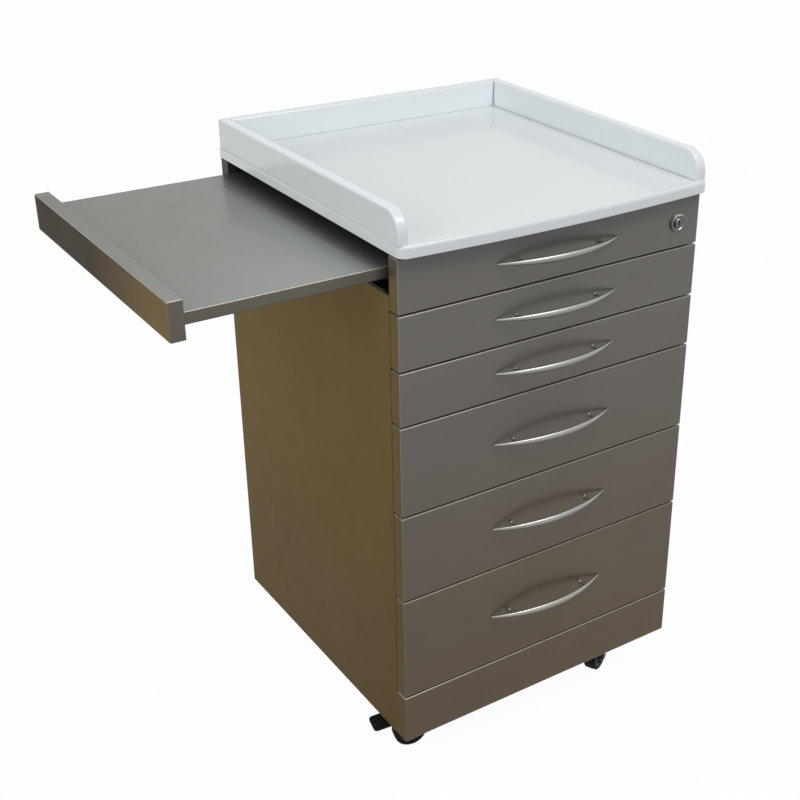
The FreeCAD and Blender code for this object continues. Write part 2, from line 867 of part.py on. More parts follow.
def shelf():
    """A flat hollow deck with an end board, drawn pulled out to the left of the carcass."""
    board_left = -half_width - s.shelf_out
    board_right = board_left + s.end_board_thickness
    board_front = panel_front + s.end_board_side_gap
    board_width = rear - s.rear_post_width - s.end_board_side_gap - board_front
    board_bottom = bay_bottom + s.end_board_bottom_gap
    owner = body("EndBoard")
    outline = rectangle(
        owner, "YZ_Plane", (board_left, board_front, board_bottom), board_width, s.end_board_height
    )
    pad = feature(owner, "Pad", outline, s.end_board_thickness)
    rounded(
        owner,
        pad,
        s.front_radius,
        lambda box: near(box.XMin, board_left.value) and (near(box.XLength, 0) or along(box, "X")),
    )
    hollow = rectangle(
        owner,
        "YZ_Plane",
        (board_right, board_front + s.front_skin, board_bottom + s.front_skin),
        board_width - 2 * s.front_skin,
        s.end_board_height - 2 * s.front_skin,
    )
    feature(owner, "Pocket", hollow, s.end_board_thickness - s.front_skin)
    finished(owner, "shelf_end_board")

    inset = s.front_skin + s.cover_clearance
    cover = block(
        board_right - s.box_sheet,
        board_front + inset,
        board_bottom + inset,
        s.box_sheet,
        board_width - 2 * inset,
        s.end_board_height - 2 * inset,
    )
    finished(cover, "shelf_end_cover")

    runner_bottom = bay_bottom + s.shelf_rail_height
    deck_bottom = runner_bottom + s.runner_depth
    deck_front = panel_front + s.deck_front_gap
    deck_width = rear - s.rear_post_width - s.deck_rear_gap - deck_front
    outer = block(board_right, deck_front, deck_bottom, s.deck_length, deck_width, s.deck_thickness)
    inside = block(
        board_right - s.deck_skin,
        deck_front + s.deck_skin,
        deck_bottom + s.deck_skin,
        s.deck_length + 2 * s.deck_skin,
        deck_width - 2 * s.deck_skin,
        s.deck_thickness - 2 * s.deck_skin,
    )
    finished(less(outer, [inside]), "shelf_deck")

    # two flat rails cross the carcass, with a thin tongue under the closed end board
    rail_x = s.end_board_thickness + s.buffer_gap - half_width
    tongue_x = s.sheet_steel - half_width
    rails = []
    tracks = []
    slides = []
    for y in (
        upright_front,
        upright_rear + s.upright_width - s.shelf_rail_width,
    ):
        rail = block(rail_x, y, bay_bottom, inner_half - rail_x, s.shelf_rail_width, s.shelf_rail_height)
        tongue = block(
            tongue_x, y, bay_bottom, inner_half - tongue_x, s.shelf_rail_width, s.shelf_rail_tongue
        )
        rails.append(joined([rail, tongue], "Rail"))
        middle = y + s.shelf_rail_width / 2
        tracks.append(flat_channel(rail_x, middle, runner_bottom, s.shelf_runner_width, 1))
        slides.append(
            flat_channel(
                board_right + s.shelf_runner_setback,
                middle,
                runner_bottom + runner_nest,
                s.shelf_runner_width - 2 * runner_nest,
                -1,
            )
        )
    finished(group(rails), "shelf_rails")
    finished(group(tracks), "shelf_runners_fixed")
    finished(group(slides), "shelf_runners_moving")


# ---------- worktop ----------

def worktop():
    slab_left = -half_width - s.slab_left_overhang
    slab_right = half_width + s.slab_right_overhang
    slab_front = front - s.slab_front_overhang
    owner = body("Slab")
    outline = bowed_rectangle(
        owner,
        "XY_Plane",
        (slab_left, slab_front, carcass_top),
        slab_right - slab_left,
        rear - slab_front,
        s.slab_front_bow,
    )
    pad = feature(owner, "Pad", outline, s.slab_thickness)
    corners = rounded(
        owner,
        pad,
        s.slab_corner_radius,
        lambda box: along(box, "Z") and near(box.YMin, slab_front.value),
    )
    upper = rounded(
        owner,
        corners,
        s.slab_edge_radius,
        lambda box: near(box.ZMin, slab_top.value) and box.YMin < rear.value - 1,
    )
    rounded(
        owner,
        upper,
        s.slab_lower_radius,
        lambda box: near(box.ZMax, carcass_top.value) and box.YMin < rear.value - 1,
    )
    finished(owner, "tray_slab")

    gallery_left = slab_left + s.gallery_left_inset
    gallery_right = slab_right - s.gallery_right_inset
    gallery_front = slab_front + s.gallery_front_inset
    for name, x in (
        ("gallery_left", gallery_left),
        ("gallery_right", gallery_right - s.gallery_thickness),
    ):
        owner = body(name)
        outline = rectangle(
            owner, "YZ_Plane", (x, gallery_front, slab_top), rear - gallery_front, s.gallery_height
        )
        pad = feature(owner, "Pad", outline, s.gallery_thickness)
        nose = rounded(
            owner,
            pad,
            s.gallery_nose_radius,
            lambda box: along(box, "X")
            and near(box.YMin, gallery_front.value)
            and box.ZMin > slab_top.value + 1,
        )
        rounded(
            owner,
            nose,
            s.gallery_edge_radius,
            lambda box: near(box.XLength, 0)
            and box.ZMax > slab_top.value + 1
            and box.YMin < rear.value - 1,
        )
        finished(owner, name)
    owner = body("gallery_rear")
    outline = rectangle(
        owner,
        "XZ_Plane",
        (gallery_left + s.gallery_thickness, rear, slab_top),
        gallery_right - gallery_left - 2 * s.gallery_thickness,
        s.gallery_height,
    )
    pad = feature(owner, "Pad", outline, s.gallery_thickness)
    rounded(
        owner,
        pad,
        s.gallery_edge_radius,
        lambda box: along(box, "X") and box.ZMin > slab_top.value + 1,
    )
    finished(owner, "gallery_rear")


# ---------- castors ----------

# Each castor is drawn once about its kingpin, with the wheel trailing along +X from it and
# the floor at zero, and then turned and placed at its corner.
CASTORS = {
    # corner: side along X, side along Y, heading of the trail in degrees, braked
    "fl": (-1, -1, 168.0, True),
    "fr": (1, -1, 208.0, False),
    "rl": (-1, 1, 14.0, False),
    "rr": (1, 1, 197.0, True),
}
raceway_bottom = base - s.castor_plate_thickness - s.raceway_height
crown_bottom = raceway_bottom - s.swivel_play - s.crown_thickness
fork_inner = s.wheel_width / 2 + s.wheel_play
fork_outer = fork_inner + s.fork_sheet
pedal_pin_x = s.castor_offset + s.pedal_pin_ahead
pedal_pin_z = crown_bottom - s.pedal_pin_drop


def castor_spot(corner):
    side_x, side_y, heading, _ = CASTORS[corner]
    x = side_x * (half_width - s.castor_side_inset)
    y = side_y * (rear - s.castor_front_inset)
    return x, y, Rotation(Vector(0, 0, 1), heading)


def at_castor(things, corner):
    """The things of one castor as one sub-part, turned and placed at its corner."""
    made = group(things)
    x, y, rotation = castor_spot(corner)
    place(made, x, y, 0, rotation)
    return made


def castor_plates():
    """Top plate, raceway and kingpin of every castor, riveted into one piece."""
    plates = []
    for corner in CASTORS:
        x, y, _ = castor_spot(corner)
        plate = block(
            x - s.castor_plate / 2,
            y - s.castor_plate / 2,
            base - s.castor_plate_thickness,
            s.castor_plate,
            s.castor_plate,
            s.castor_plate_thickness,
            "Plate",
        )
        raceway = rod(x, y, raceway_bottom, s.raceway_radius, s.raceway_height, "Z", "Raceway")
        head_z = crown_bottom - s.swivel_play - s.kingpin_head_height
        pin = rod(x, y, head_z, s.kingpin_radius, raceway_bottom - head_z, "Z", "Kingpin")
        head = rod(x, y, head_z, s.kingpin_head_radius, s.kingpin_head_height, "Z", "KingpinHead")
        plates.append(joined([plate, raceway, pin, head], "PlateAndPin"))
    finished(group(plates), "castor_plates")


def fork_core():
    """The pressed fork: a crown round the kingpin and two legs down to the axle."""
    crown_top = crown_bottom + s.crown_thickness
    owner = body("Fork")
    crown = circle(owner, "XY_Plane", (0, 0, crown_bottom), s.crown_radius)
    feature(owner, "Pad", crown, s.crown_thickness)
    bridge = rectangle(
        owner, "XY_Plane", (0, -fork_outer, crown_bottom), s.fork_leg_front, 2 * fork_outer
    )
    feature(owner, "Pad", bridge, s.crown_thickness)
    for y in (fork_outer, -fork_inner):
        leg = polygon(
            owner,
            "XZ_Plane",
            (0, y, 0),
            [
                (-s.fork_leg_rear, crown_top),
                (s.castor_offset - s.axle_boss_radius, s.wheel_radius),
                (s.castor_offset + s.axle_boss_radius, s.wheel_radius),
                (s.fork_leg_front, crown_top),
            ],
        )
        feature(owner, "Pad", leg, s.fork_sheet)
        boss = circle(owner, "XZ_Plane", (s.castor_offset, y, s.wheel_radius), s.axle_boss_radius)
        feature(owner, "Pad", boss, s.fork_sheet)
    eye = circle(owner, "XY_Plane", (0, 0, crown_top), s.kingpin_radius + s.pin_play)
    feature(owner, "Pocket", eye, 2 * s.crown_thickness)
    return owner


def castor_wheel_core():
    """A wheel about the axle: hub, recessed web and a tread with rounded shoulders."""
    half_hub = fork_inner - s.hub_gap
    half_web = s.wheel_width / 2 - s.wheel_recess
    half_tread = s.wheel_width / 2
    bore = s.axle_radius + s.pin_play
    owner = body("Wheel")
    profile = polygon(
        owner,
        "XY_Plane",
        (0, 0, 0),
        [
            (bore, -half_hub),
            (s.axle_boss_radius, -half_hub),
            (s.axle_boss_radius, -half_web),
            (s.wheel_rim_radius, -half_web),
            (s.wheel_rim_radius, -half_tread),
            (s.wheel_radius, -half_tread),
            (s.wheel_radius, half_tread),
            (s.wheel_rim_radius, half_tread),
            (s.wheel_rim_radius, half_web),
            (s.axle_boss_radius, half_web),
            (s.axle_boss_radius, half_hub),
            (bore, half_hub),
        ],
    )
    made = turned(owner, profile)
    rounded(
        owner,
        made,
        s.tyre_radius,
        lambda box: near(box.YLength, 0) and box.ZMax > s.wheel_radius.value - 1e-3,
    )
    bind(owner, "Placement.Base.x", s.castor_offset)
    bind(owner, "Placement.Base.z", s.wheel_radius)
    return owner


def pedal_core():
    """A brake pedal on a pin between the fork's legs, with a shoe just above the tread."""
    half_neck = fork_inner - s.hub_gap
    knee_x = s.castor_offset + s.wheel_radius + s.pedal_wheel_gap
    knee_z = pedal_pin_z - s.pedal_knee_drop
    tip_z = knee_z - s.pedal_tip_drop
    rest = s.wheel_radius + s.pedal_wheel_gap
    shoe_x = s.castor_offset + s.pedal_shoe_ahead
    shoe_rise = (rest.value ** 2 - s.pedal_shoe_ahead.value ** 2) ** 0.5
    shoe_z = s.wheel_radius + shoe_rise
    owner = body("Pedal")
    neck = polygon(
        owner,
        "XZ_Plane",
        (0, half_neck, 0),
        [
            (pedal_pin_x, pedal_pin_z + s.pedal_eye_radius),
            (pedal_pin_x, pedal_pin_z - s.pedal_eye_radius),
            (shoe_x, shoe_z),
            (knee_x, knee_z - s.pedal_sheet),
            (knee_x, knee_z),
        ],
    )
    feature(owner, "Pad", neck, 2 * half_neck)
    eye = circle(owner, "XZ_Plane", (pedal_pin_x, half_neck, pedal_pin_z), s.pedal_eye_radius)
    feature(owner, "Pad", eye, 2 * half_neck)
    tread = polygon(
        owner,
        "XZ_Plane",
        (0, s.pedal_width / 2, 0),
        [
            (knee_x, knee_z),
            (knee_x, knee_z - s.pedal_sheet),
            (s.pedal_reach, tip_z - s.pedal_sheet),
            (s.pedal_reach, tip_z),
        ],
    )
    tread_pad = feature(owner, "Pad", tread, s.pedal_width)
    rounded(
        owner,
        tread_pad,
        s.pedal_corner_radius,
        lambda box: along(box, "Z") and near(box.XMin, s.pedal_reach.value),
    )
    bore = circle(
        owner, "XZ_Plane", (pedal_pin_x, half_neck, pedal_pin_z), s.pedal_pin_radius + s.pin_play
    )
    feature(owner, "Pocket", bore, 2 * half_neck, backwards=True)
    return owner


def castors():
    castor_plates()
    fork = fork_core()
    wheel = castor_wheel_core()
    pedal = pedal_core()
    axle = joined(
        [
            rod(s.castor_offset, -fork_outer, s.wheel_radius, s.axle_radius, 2 * fork_outer, "Y", "Axle"),
            rod(
                s.castor_offset,
                -fork_outer - s.axle_head_height,
                s.wheel_radius,
                s.axle_head_radius,
                s.axle_head_height,
                "Y",
                "AxleHead",
            ),
            rod(
                s.castor_offset,
                fork_outer,
                s.wheel_radius,
                s.axle_head_radius,
                s.axle_head_height,
                "Y",
                "AxleNut",
            ),
        ],
        "AxleBolt",
    )
    pin = rod(pedal_pin_x, -fork_outer, pedal_pin_z, s.pedal_pin_radius, 2 * fork_outer, "Y", "PedalPin")
    plain_fork = less(fork, [axle])
    braked_fork = less(plain_fork, [pin])
    for corner, (_, _, _, braked) in CASTORS.items():
        pieces = [braked_fork, axle, pin] if braked else [plain_fork, axle]
        finished(at_castor(pieces, corner), f"castor_fork_{corner}")
        finished(at_castor([wheel], corner), f"castor_wheel_{corner}")
        if braked:
            finished(at_castor([pedal], corner), f"brake_pedal_{corner}")


# ---------- screws ----------

def screws():
    """Screw heads: four under each castor plate and six that hold the worktop to the top frame."""
    heads = []
    corner_reach = s.castor_plate / 2 - s.screw_edge
    head_z = base - s.castor_plate_thickness - s.screw_head_height
    for corner in CASTORS:
        x, y, _ = castor_spot(corner)
        for across in (-1, 1):
            for back in (-1, 1):
                heads.append((x + across * corner_reach, y + back * corner_reach, head_z))
    frame_bottom = carcass_top - s.frame_plate
    for x in (frame_left + s.frame_rail_width / 2, inner_half - s.frame_rail_width / 2):
        for share in (1, 3, 5):
            y = frame_front + share * (back_front - frame_front) / 6
            heads.append((x, y, frame_bottom - s.screw_head_height))
    finished(
        group([rod(x, y, z, s.screw_head_radius, s.screw_head_height, "Z", "Head") for x, y, z in heads]),
        "carcass_screws",
    )


side_panels()
back_and_base()
plinth()
top_frame()
uprights()
drawers()
lock()
shelf()
worktop()
castors()
screws()
doc.recompute()

for thing in doc.Objects:
    if {"Invalid", "Error"} & set(thing.State):
        raise RuntimeError(f"{thing.Name} ({thing.Label}) did not recompute: {thing.State}")
for thing in parts:
    if thing.Shape.isNull() or not thing.Shape.isValid():
        raise RuntimeError(f"{thing.Label} has no valid shape")
    thing.Shape.exportStep(f"parts/{thing.Label}.step")
    print(f"{thing.Label}: {len(thing.Shape.Solids)} solid(s), {thing.Shape.Volume / 1000:.2f} cm3")
print(len(parts), "sub-parts written")
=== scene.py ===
import json
import math

import bpy
import numpy as np
from mathutils import Matrix, Vector


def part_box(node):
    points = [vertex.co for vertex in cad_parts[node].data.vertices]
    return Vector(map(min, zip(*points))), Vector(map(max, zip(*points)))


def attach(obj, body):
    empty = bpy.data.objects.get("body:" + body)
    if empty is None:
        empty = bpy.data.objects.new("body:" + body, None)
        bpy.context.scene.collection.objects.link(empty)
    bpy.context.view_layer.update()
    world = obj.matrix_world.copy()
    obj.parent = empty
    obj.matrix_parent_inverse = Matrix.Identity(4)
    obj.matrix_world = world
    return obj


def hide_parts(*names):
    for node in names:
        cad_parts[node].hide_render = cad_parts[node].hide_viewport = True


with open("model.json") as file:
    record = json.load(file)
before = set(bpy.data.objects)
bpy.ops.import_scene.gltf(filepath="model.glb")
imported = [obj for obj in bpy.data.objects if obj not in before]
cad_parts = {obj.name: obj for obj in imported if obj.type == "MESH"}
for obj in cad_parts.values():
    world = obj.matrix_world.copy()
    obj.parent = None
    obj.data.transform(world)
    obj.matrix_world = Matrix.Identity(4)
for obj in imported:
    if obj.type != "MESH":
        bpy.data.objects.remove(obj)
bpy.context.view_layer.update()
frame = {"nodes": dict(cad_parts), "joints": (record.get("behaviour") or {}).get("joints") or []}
nodes = frame["nodes"]
mm = 0.001
print("frame loaded:", len(nodes), "nodes")


# surfaces worked out on grids

class Skin:
    # gathers grids of points into one closed mesh

    def __init__(self):
        self.points = []
        self.faces = []
        self.count = 0

    def grid(self, points, loop=False):
        # rows run along the piece and columns round it. A cap closes each end, or a loop
        # joins the last row to the first. The faces are turned over if the volume inside
        # them comes out negative
        rows, columns = points.shape[:2]
        index = np.arange(rows * columns).reshape(rows, columns)
        if loop:
            index = np.concatenate([index, index[:1]])
        beside = np.roll(index, -1, axis=1)
        quads = np.stack([index[:-1], beside[:-1], beside[1:], index[1:]], axis=-1).reshape(-1, 4)
        faces = [tuple(face) for face in quads.tolist()]
        if not loop:
            faces.append(tuple(range(columns))[::-1])
            faces.append(tuple(range((rows - 1) * columns, rows * columns)))
        flat = points.reshape(-1, 3)
        volume = 0.0
        for face in faces:
            corner = flat[list(face)]
            volume += np.einsum("j,ij->", corner[0], np.cross(corner[1:-1], corner[2:]))
        if volume < 0:
            faces = [face[::-1] for face in faces]
        self.faces += [tuple(i + self.count for i in face) for face in faces]
        self.points.append(flat)
        self.count += len(flat)
        return self

    def build(self, name, body, finish, slot, replaces=(), sharp=32.0, others=()):
        # each other finish, given with a direction, goes on the faces that look that way
        mesh = bpy.data.meshes.new(name)
        mesh.from_pydata(np.concatenate(self.points).tolist(), [], self.faces)
        mesh.polygons.foreach_set("use_smooth", np.ones(len(mesh.polygons), dtype=bool))
        mesh.set_sharp_from_angle(angle=math.radians(sharp))
        mesh.materials.append(finish)
        normals = np.empty(3 * len(mesh.polygons))
        mesh.polygons.foreach_get("normal", normals)
        chosen = np.zeros(len(mesh.polygons), dtype=np.int32)
        for place, (other, direction) in enumerate(others, 1):
            mesh.materials.append(other)
            chosen[normals.reshape(-1, 3) @ np.array(direction) > 0.9] = place
        mesh.polygons.foreach_set("material_index", chosen)
        piece = bpy.data.objects.new(name, mesh)
        bpy.context.scene.collection.objects.link(piece)
        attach(piece, body)
        if replaces:
            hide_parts(*replaces)
        return piece


def roundedOutline(low, high, radii, inset=0.0, steps=7):
    # a rectangle's outline, anticlockwise from its right side, moved inwards by an inset:
    # each corner is a quarter circle of its own radius less the inset
    lowU, lowV = low[0] + inset, low[1] + inset
    highU, highV = high[0] - inset, high[1] - inset
    turn = np.linspace(0, np.pi / 2, steps)
    sides = ((highU, highV, -1, -1), (lowU, highV, 1, -1), (lowU, lowV, 1, 1), (highU, lowV, -1, 1))
    arcs = []
    for quarter, (u, v, toU, toV) in enumerate(sides):
        radius = max(radii[quarter] - inset, 0.03 * mm)
        angle = quarter * np.pi / 2 + turn
        arcU = u + radius * (toU + np.cos(angle))
        arcV = v + radius * (toV + np.sin(angle))
        arcs.append(np.stack([arcU, arcV], -1))
    return np.concatenate(arcs)


def turnedTo(axes, u, v, w):
    # puts the three coordinates of a drawing on the axes named for them
    made = np.empty(np.broadcast(u, v, w).shape + (3,))
    for axis, value in zip(axes, (u, v, w)):
        made[..., "xyz".index(axis)] = value
    return made


def ringLoft(low, high, radii, profile, axes, steps=7):
    # one outline for each profile point (inset, depth), stacked into a grid
    rings = [roundedOutline(low, high, radii, inset, steps) for inset, _ in profile]
    rings = np.stack(rings)
    depth = np.array([depth for _, depth in profile])[:, None]
    return turnedTo(axes, rings[..., 0], rings[..., 1], np.broadcast_to(depth, rings.shape[:2]))


def boardProfile(start, end, radius, steps=5, flat=0.4 * mm, endRadius=None):
    # across a board's edge: face, quarter round, side, quarter round, face.
    # A narrow flat band beside each round keeps the large faces evenly shaded
    turn = np.linspace(0, np.pi / 2, steps)
    inwards = math.copysign(1.0, end - start)
    endRadius = endRadius or radius
    quarter = [(1 - math.sin(t), 1 - math.cos(t)) for t in turn]
    first = [(radius * inset, start + inwards * radius * depth) for inset, depth in quarter]
    last = [(endRadius * inset, end - inwards * endRadius * depth) for inset, depth in quarter[::-1]]
    return [
        (radius + flat, start),
        *first,
        (0, start + inwards * (radius + flat)),
        (0, end - inwards * (endRadius + flat)),
        *last,
        (endRadius + flat, end),
    ]


def bowedLoft(low, high, radii, profile, bow, steps=10, along=30):
    # the outlines of a board with a bowed front: points are added along the front side, and the
    # front moves out by the bow times one less the square of the share of the half width
    share = np.linspace(0, 1, along + 2)[1:-1, None]
    rings = []
    for inset, _ in profile:
        ring = roundedOutline((low.x, low.y + bow), (high.x, high.y), radii, inset, steps)
        before, after = ring[:3 * steps], ring[3 * steps:]
        rings.append(np.concatenate([before, before[-1] * (1 - share) + after[0] * share, after]))
    rings = np.stack(rings)
    aside = (2 * rings[..., 0] - low.x - high.x) / (high.x - low.x)
    front = rings[..., 1] < (low.y + high.y) / 2
    y = rings[..., 1] - np.where(front, bow * (1 - aside ** 2), 0)
    depth = np.array([depth for _, depth in profile])[:, None]
    return turnedTo("xyz", rings[..., 0], y, np.broadcast_to(depth, y.shape))


def panProfile(face, back, radius, skin, steps=5, flat=0.4 * mm):
    # across a folded pan's edge: outer face, quarter round, side, lip, inner side, inner face
    inwards = math.copysign(1.0, back - face)
    turn = np.linspace(0, np.pi / 2, steps)
    first = [(radius * (1 - math.sin(t)), face + inwards * radius * (1 - math.cos(t))) for t in turn]
    return [
        (radius + flat, face),
        *first,
        (0, face + inwards * (radius + flat)),
        (0, back),
        (skin, back),
        (skin, face + inwards * skin),
        (skin + flat, face + inwards * skin),
    ]


def lathe(profile, centre, axis, steps=48, sense=1):
    # turns a profile of (radius, place along the axis) round an axis through a centre
    angle = np.linspace(0, 2 * np.pi, steps, endpoint=False)
    radius = np.array([r for r, _ in profile])[:, None]
    place = np.array([p for _, p in profile])[:, None] * sense
    u = radius * np.cos(angle)
    v = radius * np.sin(angle)
    axes = {"x": "yzx", "y": "zxy", "z": "xyz"}[axis]
    return turnedTo(axes, u, v, np.broadcast_to(place, u.shape)) + np.array(centre)


def turnedBy(points, heading, centre):
    # turns points about the vertical through the origin and then moves them
    turn = math.radians(heading)
    matrix = np.array(
        [[math.cos(turn), -math.sin(turn), 0], [math.sin(turn), math.cos(turn), 0], [0, 0, 1]]
    )
    return points @ matrix.T + np.array(centre)


# finishes

class Wire:
    # a shader value that takes Python's operators

    def __init__(self, finish, socket):
        self.finish = finish
        self.socket = socket

    def maths(self, operation, first, second):
        return self.finish.node("ShaderNodeMath", {"operation": operation}, {0: first, 1: second})

    def __add__(self, other):
        return self.maths("ADD", self, other)

    def __radd__(self, other):
        return self.maths("ADD", other, self)

    def __sub__(self, other):
        return self.maths("SUBTRACT", self, other)

    def __rsub__(self, other):
        return self.maths("SUBTRACT", other, self)

    def __mul__(self, other):
        return self.maths("MULTIPLY", self, other)

    def __rmul__(self, other):
        return self.maths("MULTIPLY", other, self)


class Nodes:
    # a cleared node tree, whose nodes are all made by one method

    def __init__(self, owner):
        owner.use_nodes = True
        self.tree = owner.node_tree
        self.tree.nodes.clear()

    def node(self, kind, settings=None, sockets=None, output=0):
        made = self.tree.nodes.new(kind)
        for name, value in (settings or {}).items():
            if name == "stops":
                while len(made.color_ramp.elements) < len(value):
                    made.color_ramp.elements.new(0.5)
                for element, (position, colour) in zip(made.color_ramp.elements, value):
                    element.position, element.color = position, (*colour, 1)
            else:
                setattr(made, name, value)
        for name, value in (sockets or {}).items():
            self.plug(self.find(made.inputs, name), value)
        return None if output is None else Wire(self, self.find(made.outputs, output))

    def find(self, sockets, name):
        # by place, by name, or by identifier where names repeat
        if isinstance(name, int):
            return sockets[name]
        return next(s for s in sockets if name in (s.name, s.identifier) and s.enabled)

    def plug(self, socket, value):
        if isinstance(value, Wire):
            self.tree.links.new(value.socket, socket)
        elif hasattr(value, "__len__") and len(value) == 3 and socket.type == "RGBA":
            socket.default_value = (*value, 1)
        else:
            socket.default_value = value

    def blend(self, mask, first, second, kind="MIX"):
        return self.node(
            "ShaderNodeMix",
            {"data_type": "RGBA", "blend_type": kind},
            {"Factor_Float": mask, "A_Color": first, "B_Color": second},
            "Result_Color",
        )

    def whiteRays(self):
        # 1 for what the camera sees, straight or in metal and glass, and 0 for light on the object
        seen = self.node("ShaderNodeLightPath", output="Is Camera Ray")
        for kind in ("Is Glossy Ray", "Is Transmission Ray"):
            seen = seen.maths("MAXIMUM", seen, self.node("ShaderNodeLightPath", output=kind))
        return seen


class Finish(Nodes):
    # one material with a principled shader and patterns in the object's own coordinates

    def __init__(self, name, **constants):
        self.material = bpy.data.materials.new(name)
        super().__init__(self.material)
        self.shader = self.tree.nodes.new("ShaderNodeBsdfPrincipled")
        output = self.tree.nodes.new("ShaderNodeOutputMaterial")
        self.tree.links.new(self.shader.outputs[0], output.inputs["Surface"])
        for name, value in constants.items():
            self.plug(self.shader.inputs[name.replace("_", " ")], value)
        self.where = self.node("ShaderNodeTexCoord", output="Object")

    def feed(self, name, value):
        self.plug(self.shader.inputs[name], value)

    def noise(self, scale, detail=3.0, roughness=0.5, stretch=(1, 1, 1)):
        at = self.node("ShaderNodeMapping", None, {"Vector": self.where, "Scale": stretch})
        return self.node(
            "ShaderNodeTexNoise",
            None,
            {"Vector": at, "Scale": scale, "Detail": detail, "Roughness": roughness},
            "Fac",
        )

    def cells(self, scale, stretch=(1, 1, 1)):
        at = self.node("ShaderNodeMapping", None, {"Vector": self.where, "Scale": stretch})
        return self.node("ShaderNodeTexVoronoi", None, {"Vector": at, "Scale": scale}, "Color")

    def ramp(self, value, low, high, first=0.0, second=1.0):
        # a value between two limits, spread from first to second
        return self.node(
            "ShaderNodeMapRange",
            {"clamp": True},
            {"Value": value, "From Min": low, "From Max": high, "To Min": first, "To Max": second},
            "Result",
        )

    def bump(self, height, strength, distance):
        self.feed(
            "Normal",
            self.node("ShaderNodeBump", None, {"Height": height, "Strength": strength, "Distance": distance}),
        )

    def along(self, axis, vector=None):
        return self.node("ShaderNodeSeparateXYZ", None, {"Vector": vector or self.where}, axis)

    def drift(self, direction, start, end):
        # from 0 to 1 between two distances along a direction
        settings = {"operation": "DOT_PRODUCT"}
        place = self.node("ShaderNodeVectorMath", settings, {0: self.where, 1: direction}, "Value")
        return self.ramp(place, start, end)

    def facing(self, axis):
        # how far the surface faces along an axis of the object, from -1 to 1
        return self.along(axis, self.node("ShaderNodeTexCoord", output="Normal"))

    def squareness(self):
        # 1 where the surface faces straight along an axis, less on a rounded fold
        most = 0.0
        for axis in "XYZ":
            level = self.node("ShaderNodeMath", {"operation": "ABSOLUTE"}, {0: self.facing(axis)})
            most = level.maths("MAXIMUM", most, level)
        return most


def fromScreen(*levels):
    # a colour as it looks on a screen, 0 to 255, turned into a light level
    shares = [level / 255 for level in levels]
    return tuple(share / 12.92 if share < 0.0405 else ((share + 0.055) / 1.055) ** 2.4 for share in shares)


enamel = {
    "metallic": 0.45,
    "coatRoughness": 0.10,
    "flakeScale": 2600.0,
    "peelScale": 260.0,
    "peelDepth": 0.00002,
    # painted highlight: how much brighter the folds are painted, and the pale colour painted on folds that
    # face up
    "foldShine": 0.35,
    "rubbedColour": (0.50, 0.465, 0.40),
}


def enamelFinish(name, tones, drift, coat, roughness, tint, gloss=0.5, band=None, cloud=5.0, crestHighlight=0.2):
    # metallic enamel: fine flake, soft clouds (partly uneven paint, partly painted reflection), a tone
    # that drifts along a direction from the first to the second, faint finger marks in the gloss, a
    # shallow orange peel, a painted highlight on the folds, and a paler painted highlight on the folds
    # that face up. A band is a third tone, which comes in along a direction of its own
    finish = Finish(
        name,
        Metallic=enamel["metallic"],
        Coat_Roughness=enamel["coatRoughness"],
        Coat_IOR=1.45,
        Specular_IOR_Level=gloss,
        Specular_Tint=tint,
    )
    first, second = (fromScreen(*tone) for tone in tones)
    tone = finish.blend(finish.drift(*drift), first, second)
    if band:
        tone = finish.blend(finish.drift(*band[:3]), tone, fromScreen(*band[3]))
    # large soft clouds: partly uneven paint, partly painted reflection
    clouds = finish.noise(cloud, 2.0, 0.45)
    flake = finish.node("ShaderNodeSeparateColor", None, {"Color": finish.cells(enamel["flakeScale"])}, "Red")
    fold = finish.ramp(finish.squareness(), 0.80, 0.97, 1.0, 0.0)
    # painted highlight: the folds are painted brighter than the flat faces
    shade = (0.90 + 0.12 * clouds + 0.10 * flake) * (1 + enamel["foldShine"] * fold)
    grey = finish.node("ShaderNodeCombineColor", None, {"Red": shade, "Green": shade, "Blue": shade})
    painted = finish.blend(1.0, tone, grey, "MULTIPLY")
    # painted highlight: folds that face up are painted paler still
    wearAndHighlight = finish.ramp(finish.facing("Z"), 0.1, 0.7, 0.0, crestHighlight) * fold
    finish.feed("Base Color", finish.blend(wearAndHighlight, painted, enamel["rubbedColour"]))
    marks = finish.ramp(finish.noise(22.0, 5.0, 0.62), 0.45, 0.75)
    finish.feed("Roughness", roughness + 0.07 * marks + 0.04 * flake)
    finish.feed("Coat Weight", coat * (1 - 0.25 * marks))
    finish.bump(finish.noise(enamel["peelScale"], 1.0), 0.35, enamel["peelDepth"])
    return finish.material


def whiteFinish(name, colour, level):
    # white gloss laminate with faint wiping marks, hair scratches and a very slight yellowing;
    # level faces are painted darker than upright ones, as painted light and shade
    finish = Finish(name, Specular_IOR_Level=0.4, Coat_Roughness=0.04)
    wipes = finish.ramp(finish.noise(14.0, 4.0, 0.6, (1.0, 2.2, 1.0)), 0.42, 0.75)
    scratch = finish.ramp(finish.noise(90.0, 2.0, 0.5, (0.12, 3.0, 1.0)), 0.72, 0.80)
    # painted light and shade: level faces take the darker level colour, upright faces the lighter one
    tone = finish.blend(finish.ramp(finish.facing("Z"), 0.05, 0.6), colour, level)
    aged = finish.blend(1.0, tone, (0.99, 0.985, 0.97), "MULTIPLY")
    finish.feed("Base Color", finish.blend(finish.noise(3.0, 2.0), tone, aged))
    finish.feed("Roughness", 0.17 + 0.07 * wipes + 0.06 * scratch)
    finish.feed("Coat Weight", 0.18 - 0.04 * wipes)
    finish.bump(finish.noise(160.0, 1.0) - 0.2 * scratch, 0.18, 0.00002)
    return finish.material


